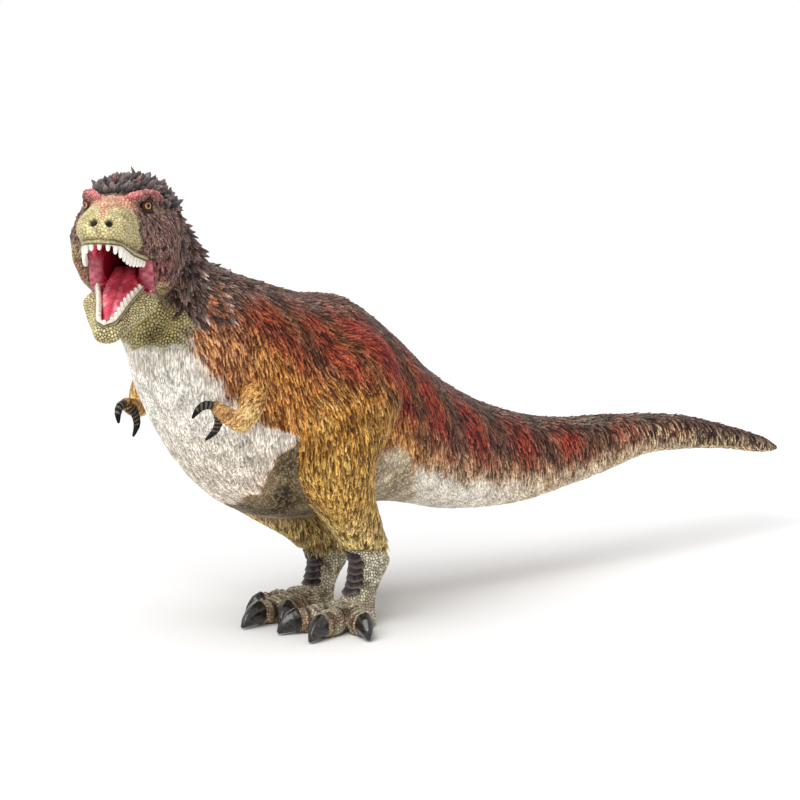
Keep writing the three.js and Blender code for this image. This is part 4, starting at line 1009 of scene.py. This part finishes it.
def tongue():
    # Along the tongue: forward, up, half width and half height, with a groove down its middle
    rows = [(6.0, 0.9, 3.4, 1.6), (10.5, -0.3, 4.4, 1.9), (15, -1.1, 5.0, 2.0), (20, -0.7, 4.6, 1.9),
            (25, -0.9, 3.6, 1.7), (29, -1.6, 2.7, 1.4), (32.4, -2.6, 1.7, 1.0), (34, -3.3, 0.7, 0.4)]
    places = [HINGE + r[0] * JAW_FORWARD + 0.2 * math.sin(i) * LEFT + r[1] * JAW_UP for i, r in enumerate(rows)]
    points, faces = tube(places, [r[2] for r in rows], [r[3] for r in rows], 56, 14,
                         lambda angle: 1 - 0.24 * np.exp(-((angle - np.pi / 2) / 0.35) ** 2), 0.9, JAW_UP)
    f, l, k = jaw_places(points)
    # Pale streaks along the wet tongue are painted highlights
    highlight_streak = ramp(0.55, 1.0, 0.5 + 0.5 * np.sin(l * 1.5 + 1.5 * wave(points, 9, 101))) * ramp(10, 17, f)
    colour = coated(
        blend((226, 66, 90), (252, 128, 146), clamp(0.5 + 0.4 * wave(points, 3, 103))),
        (paint(255, 206, 214), highlight_streak * 0.75 * ramp(-0.4, 0.6, wave(points, 2.5, 102))),
        # Darker along the middle groove and towards the back of the mouth: painted shade
        (paint(110, 8, 28), ramp(1.0, 0.0, abs(l)) * 0.3 + ramp(12, 6, f) * 0.7))
    points = points + (wave(points, 2.0, 107) * 0.09)[:, None] * JAW_UP
    piece("tongue_flesh", points, faces, colour, 1.0, flesh, "tongue", ["tongue"], "jaw")


EYE_SIDES, LID_RADIUS = 44, 2.34


def eye(name, side):
    # A glossy ball with a ringed iris, behind two lids with a pointed opening
    centre = HINGE + EYE_FORWARD * FORWARD + side * EYE_OUT * LEFT + EYE_UP * UP
    look = unit(0.5 * FORWARD + side * 0.86 * LEFT - 0.04 * UP)
    across = unit(np.cross(look, UP))
    rise = np.cross(across, look)
    angle = np.arange(EYE_SIDES) * 2 * np.pi / EYE_SIDES

    def circle(turn, radius):
        radius, turn = (np.broadcast_to(v, EYE_SIDES)[:, None] for v in (radius, turn))
        away = np.cos(angle)[:, None] * across + np.sin(angle)[:, None] * rise
        return centre + radius * (np.cos(turn) * look + np.sin(turn) * away)

    points, faces = skin_over([
        circle(t, 2.3 + 0.14 * math.exp(-(t / 0.5) ** 2)) for t in np.linspace(0.03, 3.1, 30)])
    q = points - centre
    gaze = unit(0.64 * FORWARD + side * 0.77 * LEFT - 0.02 * UP)
    turn = np.arccos(np.clip(unit(q) @ gaze, -1, 1))
    spoke = 0.5 + 0.5 * np.sin(np.arctan2(q @ across, q @ rise) * 22)
    glow = 0.6 * ramp(0.24, 0.4, turn) * ramp(0.56, 0.44, turn)
    colour = coated(
        blend((140, 60, 18), (236, 172, 96), clamp(0.4 * spoke + glow)),
        (paint(4, 3, 3), ramp(0.29, 0.24, turn)),
        (paint(36, 14, 8), ramp(0.48, 0.56, turn)))
    piece(name + "_eye_ball", points, faces, colour, 1.0, glass_eye, "eye", [name + "_eye"])

    opening = 0.44 + 0.3 * abs(np.cos(angle)) ** 2.5
    rings, shades = [], []
    for t in np.linspace(0, 1, 12):
        swollen = 2.5 + 0.34 * math.sin(math.pi * min(1.0, 0.15 + 1.5 * t)) * (1 - 0.6 * t)
        rings.append(circle(opening * (1 - t) + 1.5 * t, swollen + 0.05 * np.sin(9 * angle + 7 * t) * t))
        shades.append(np.full(EYE_SIDES, t))
    for t in np.linspace(1, 0, 6):
        rings.append(circle(opening * (1 - t) + 1.5 * t, LID_RADIUS))
        shades.append(np.full(EYE_SIDES, t))
    points, shades = np.concatenate(rings), np.concatenate(shades)
    starts = [(i * EYE_SIDES, (i + 1) % len(rings) * EYE_SIDES) for i in range(len(rings))]
    faces = [(a + j, a + (j + 1) % EYE_SIDES, b + (j + 1) % EYE_SIDES, b + j)
             for a, b in starts for j in range(EYE_SIDES)]
    skin = blend((84, 50, 44), (44, 26, 24), ramp(0.3, 0.7, shades))
    colour = mix(paint(20, 12, 12), skin, ramp(0.06, 0.2, shades))
    piece(name + "_eyelids", points, faces, colour, 0.3, hide, "head_skin")


teeth("upper_teeth", "figure", head_places, UPPER_ARCH)
teeth("lower_teeth", "jaw", jaw_places, LOWER_ARCH)
tongue()
eye("left", 1)
eye("right", -1)

# --- loose feathers: crest, nape, mane, cheeks, back and ankles ---
POINTED = ((0, 0.55), (0.25, 1.0), (0.5, 0.92), (0.75, 0.6), (0.93, 0.28), (1.0, 0.06))
LEAF = ((0, 0.55), (0.28, 1.0), (0.55, 0.98), (0.78, 0.7), (0.93, 0.34), (1.0, 0.06))


def blade(base, along, normal, length, width, lift, curl, profile):
    side = unit(np.cross(along, normal))
    rings = []
    for t, w in profile:
        rise = lift * t * length - curl * t * t * length - 0.35 * (1 - t)
        place = base + along * length * t + normal * rise
        half, thick = side * (width * w / 2), normal * (0.1 + 0.13 * w)
        rings.append(np.array([place + half, place + thick, place - half, place - thick]))
    return skin_over(rings)


def feathers(name, slot, zone, spacing, length, width, lift, root, tip, odd_tip, odd_share, curl=0.15,
             direction=flow, profile=POINTED):
    chosen = np.flatnonzero(zone)
    t = np.concatenate([np.repeat([t for t, _ in profile], 4), [0, 1.0]])
    edge = np.concatenate([np.tile([0.55, 0, 0.55, 0], len(profile)), [0, 0]])
    toward_tip = clamp(0.75 * t ** 2 + edge * t)
    parts, tints = [], []
    for i in chosen[thin(p[chosen], spacing if fine else 1.3 * spacing)]:
        normal = n[i]
        along = along_surface(direction[i] + 0.26 * rng.normal(size=3), normal)
        long = length * rng.uniform(0.7, 1.25)
        parts.append(blade(p[i] - normal * 0.1, along, normal, long, width * rng.uniform(0.8, 1.25),
                           lift * rng.uniform(0.5, 1.4), curl * rng.uniform(0.4, 1.5), profile))
        end = odd_tip if rng.random() < odd_share else tip
        tints.append(blend(root, end, toward_tip) * rng.uniform(0.45, 1.3))
    points, faces = joined(parts)
    piece(name, points, faces, np.vstack(tints), 0.0, plumage, slot)


behind = past_neck(p)
open_face = ~(inside_mouth | pocket)
crest_zone = in_head & open_face & (k > 16.5) & (f < 21 - 0.7 * aside) & (brow < 0.2) & (nk > 0.35) & (
    eye_gap > 4.4)
nape_zone = in_head & open_face & (k > 4) & ((k <= 16.5) | (nk <= 0.35)) & (f < 5 - 0.4 * k) & (throat < 0.2)
mane_zone = open_face & (behind > -6) & (f < 4) & (k < 10) & (throat < 0.15) & (white < 0.2) & (
    chest_front < 0.1) & (aside > 3) & (below_back < 24) & (z > 108)
cheek_zone = in_head & open_face & (f < 20) & (f > -10) & (k < 15) & (k > -2) & (snout < 0.1) & (
    eye_gap > 4.5) & (throat < 0.3) & ~((np.hypot(f, k) < 15) & (f > 0))
back_zone = ~in_head & ~on_leg & (n[:, 2] > 0.8) & (y < 165) & (below_back < 3.5) & (behind < -3)
ankle_zone = on_leg & (n[:, 2] > -0.35) & (z < np.where(x > OFFSET[0], 32, 28)) & (
    z > np.where(x > OFFSET[0], 26.8, 22.4))
backward = np.tile(-0.75 * FORWARD + 0.3 * UP, (len(p), 1)) + 0.3 * nl[:, None] * LEFT
hanging = np.tile([0, 0.05, -1.0], (len(p), 1))
feathers("crest_feathers", "head_skin", crest_zone, 1.55, 4.2, 1.9, 0.5, (8, 6, 7), (150, 136, 132),
         (216, 150, 146), 0.08, 0.12, backward, LEAF)
feathers("nape_feathers", "head_skin", nape_zone, 1.6, 4.6, 1.55, 0.32, (14, 8, 8), (166, 134, 126),
         (226, 172, 168), 0.14, profile=LEAF)
feathers("mane_feathers", "head_skin", mane_zone, 1.9, 5.2, 1.35, 0.2, (22, 12, 12), (152, 120, 108),
         (232, 204, 196), 0.14)
feathers("cheek_feathers", "head_skin", cheek_zone, 1.6, 2.8, 0.85, 0.16, (34, 20, 20), (160, 124, 114),
         (210, 178, 166), 0.22)
feathers("back_feathers", "trunk_plumage", back_zone, 2.1, 3.4, 1.1, 0.2, (16, 10, 10), (150, 124, 112),
         (206, 178, 160), 0.2)
feathers("leg_fringes", "leg_plumage", ankle_zone, 1.1, 3.8, 0.85, 0.06, (92, 60, 22), (250, 228, 168),
         (232, 196, 124), 0.4, 0.1, hanging)

# --- nodes that show only on the inside ---
moulded = plain("moulded_plastic", (46, 46, 48), (62, 61, 63), 0.55, 0.0, 900)
steel = plain("pin_steel", (168, 170, 172), (200, 202, 204), 0.3, 1.0, 2600)
for name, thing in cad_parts.items():
    if name.endswith(("_plug", "_peg", "_pin")):
        dress(thing, steel if name.endswith("_pin") else moulded)

# --- floor, lights and camera ---
SCENE_MIDDLE, WORLD_LIGHT, WHITE_BACKGROUND = (0, -0.03, 0.07), 0.46, 1.0
floor = placed("floor", mesh_of("floor", [(-3, -3, 0), (3, -3, 0), (3, 3, 0), (-3, 3, 0)], [(0, 1, 2, 3)]))
floor_material, tree, shader = new_material("pale_floor")
fill(tree, shader, {"Base Color": (0.93, 0.93, 0.93, 1), "Roughness": 0.9, "Specular IOR Level": 0.0})
floor.data.materials.append(floor_material)

world = bpy.data.worlds.new("studio")
bpy.context.scene.world = world
world.use_nodes = True
tree = world.node_tree
rays = tree.nodes.new("ShaderNodeLightPath").outputs
total = rays["Is Camera Ray"]
for kind in ("Is Glossy Ray", "Is Transmission Ray"):
    total = added(tree, "Math", "Value", {0: total, 1: rays[kind]}, operation="MAXIMUM")
seen = added(tree, "MapRange", "Result", {"Value": total, "To Min": WORLD_LIGHT, "To Max": WHITE_BACKGROUND})
fill(tree, tree.nodes["Background"], {"Color": (1, 1, 1, 1), "Strength": seen})


def facing(name, data, place, target):
    thing = placed(name, data)
    thing.location = place
    thing.rotation_euler = (Vector(target) - Vector(place)).to_track_quat("-Z", "Y").to_euler()
    return thing


key = bpy.data.lights.new("key", "SUN")
key.angle, key.energy = math.radians(46), 2.6
facing("key", key, (0.25, -1.05, 1.4), SCENE_MIDDLE)
highlight = bpy.data.lights.new("highlight", "AREA")
highlight.shape, highlight.size, highlight.energy = "DISK", 0.25, 3
facing("highlight", highlight, (0.9, -1.0, 0.9), SCENE_MIDDLE)

camera = bpy.data.cameras.new("camera")
camera.sensor_width, camera.lens = 36, 141.75
bpy.context.scene.camera = facing("camera", camera, (0.74561, -0.74262, 0.2335), (-0.00039, -0.02219, 0.06921))
bpy.context.scene.view_settings.view_transform = "Standard"
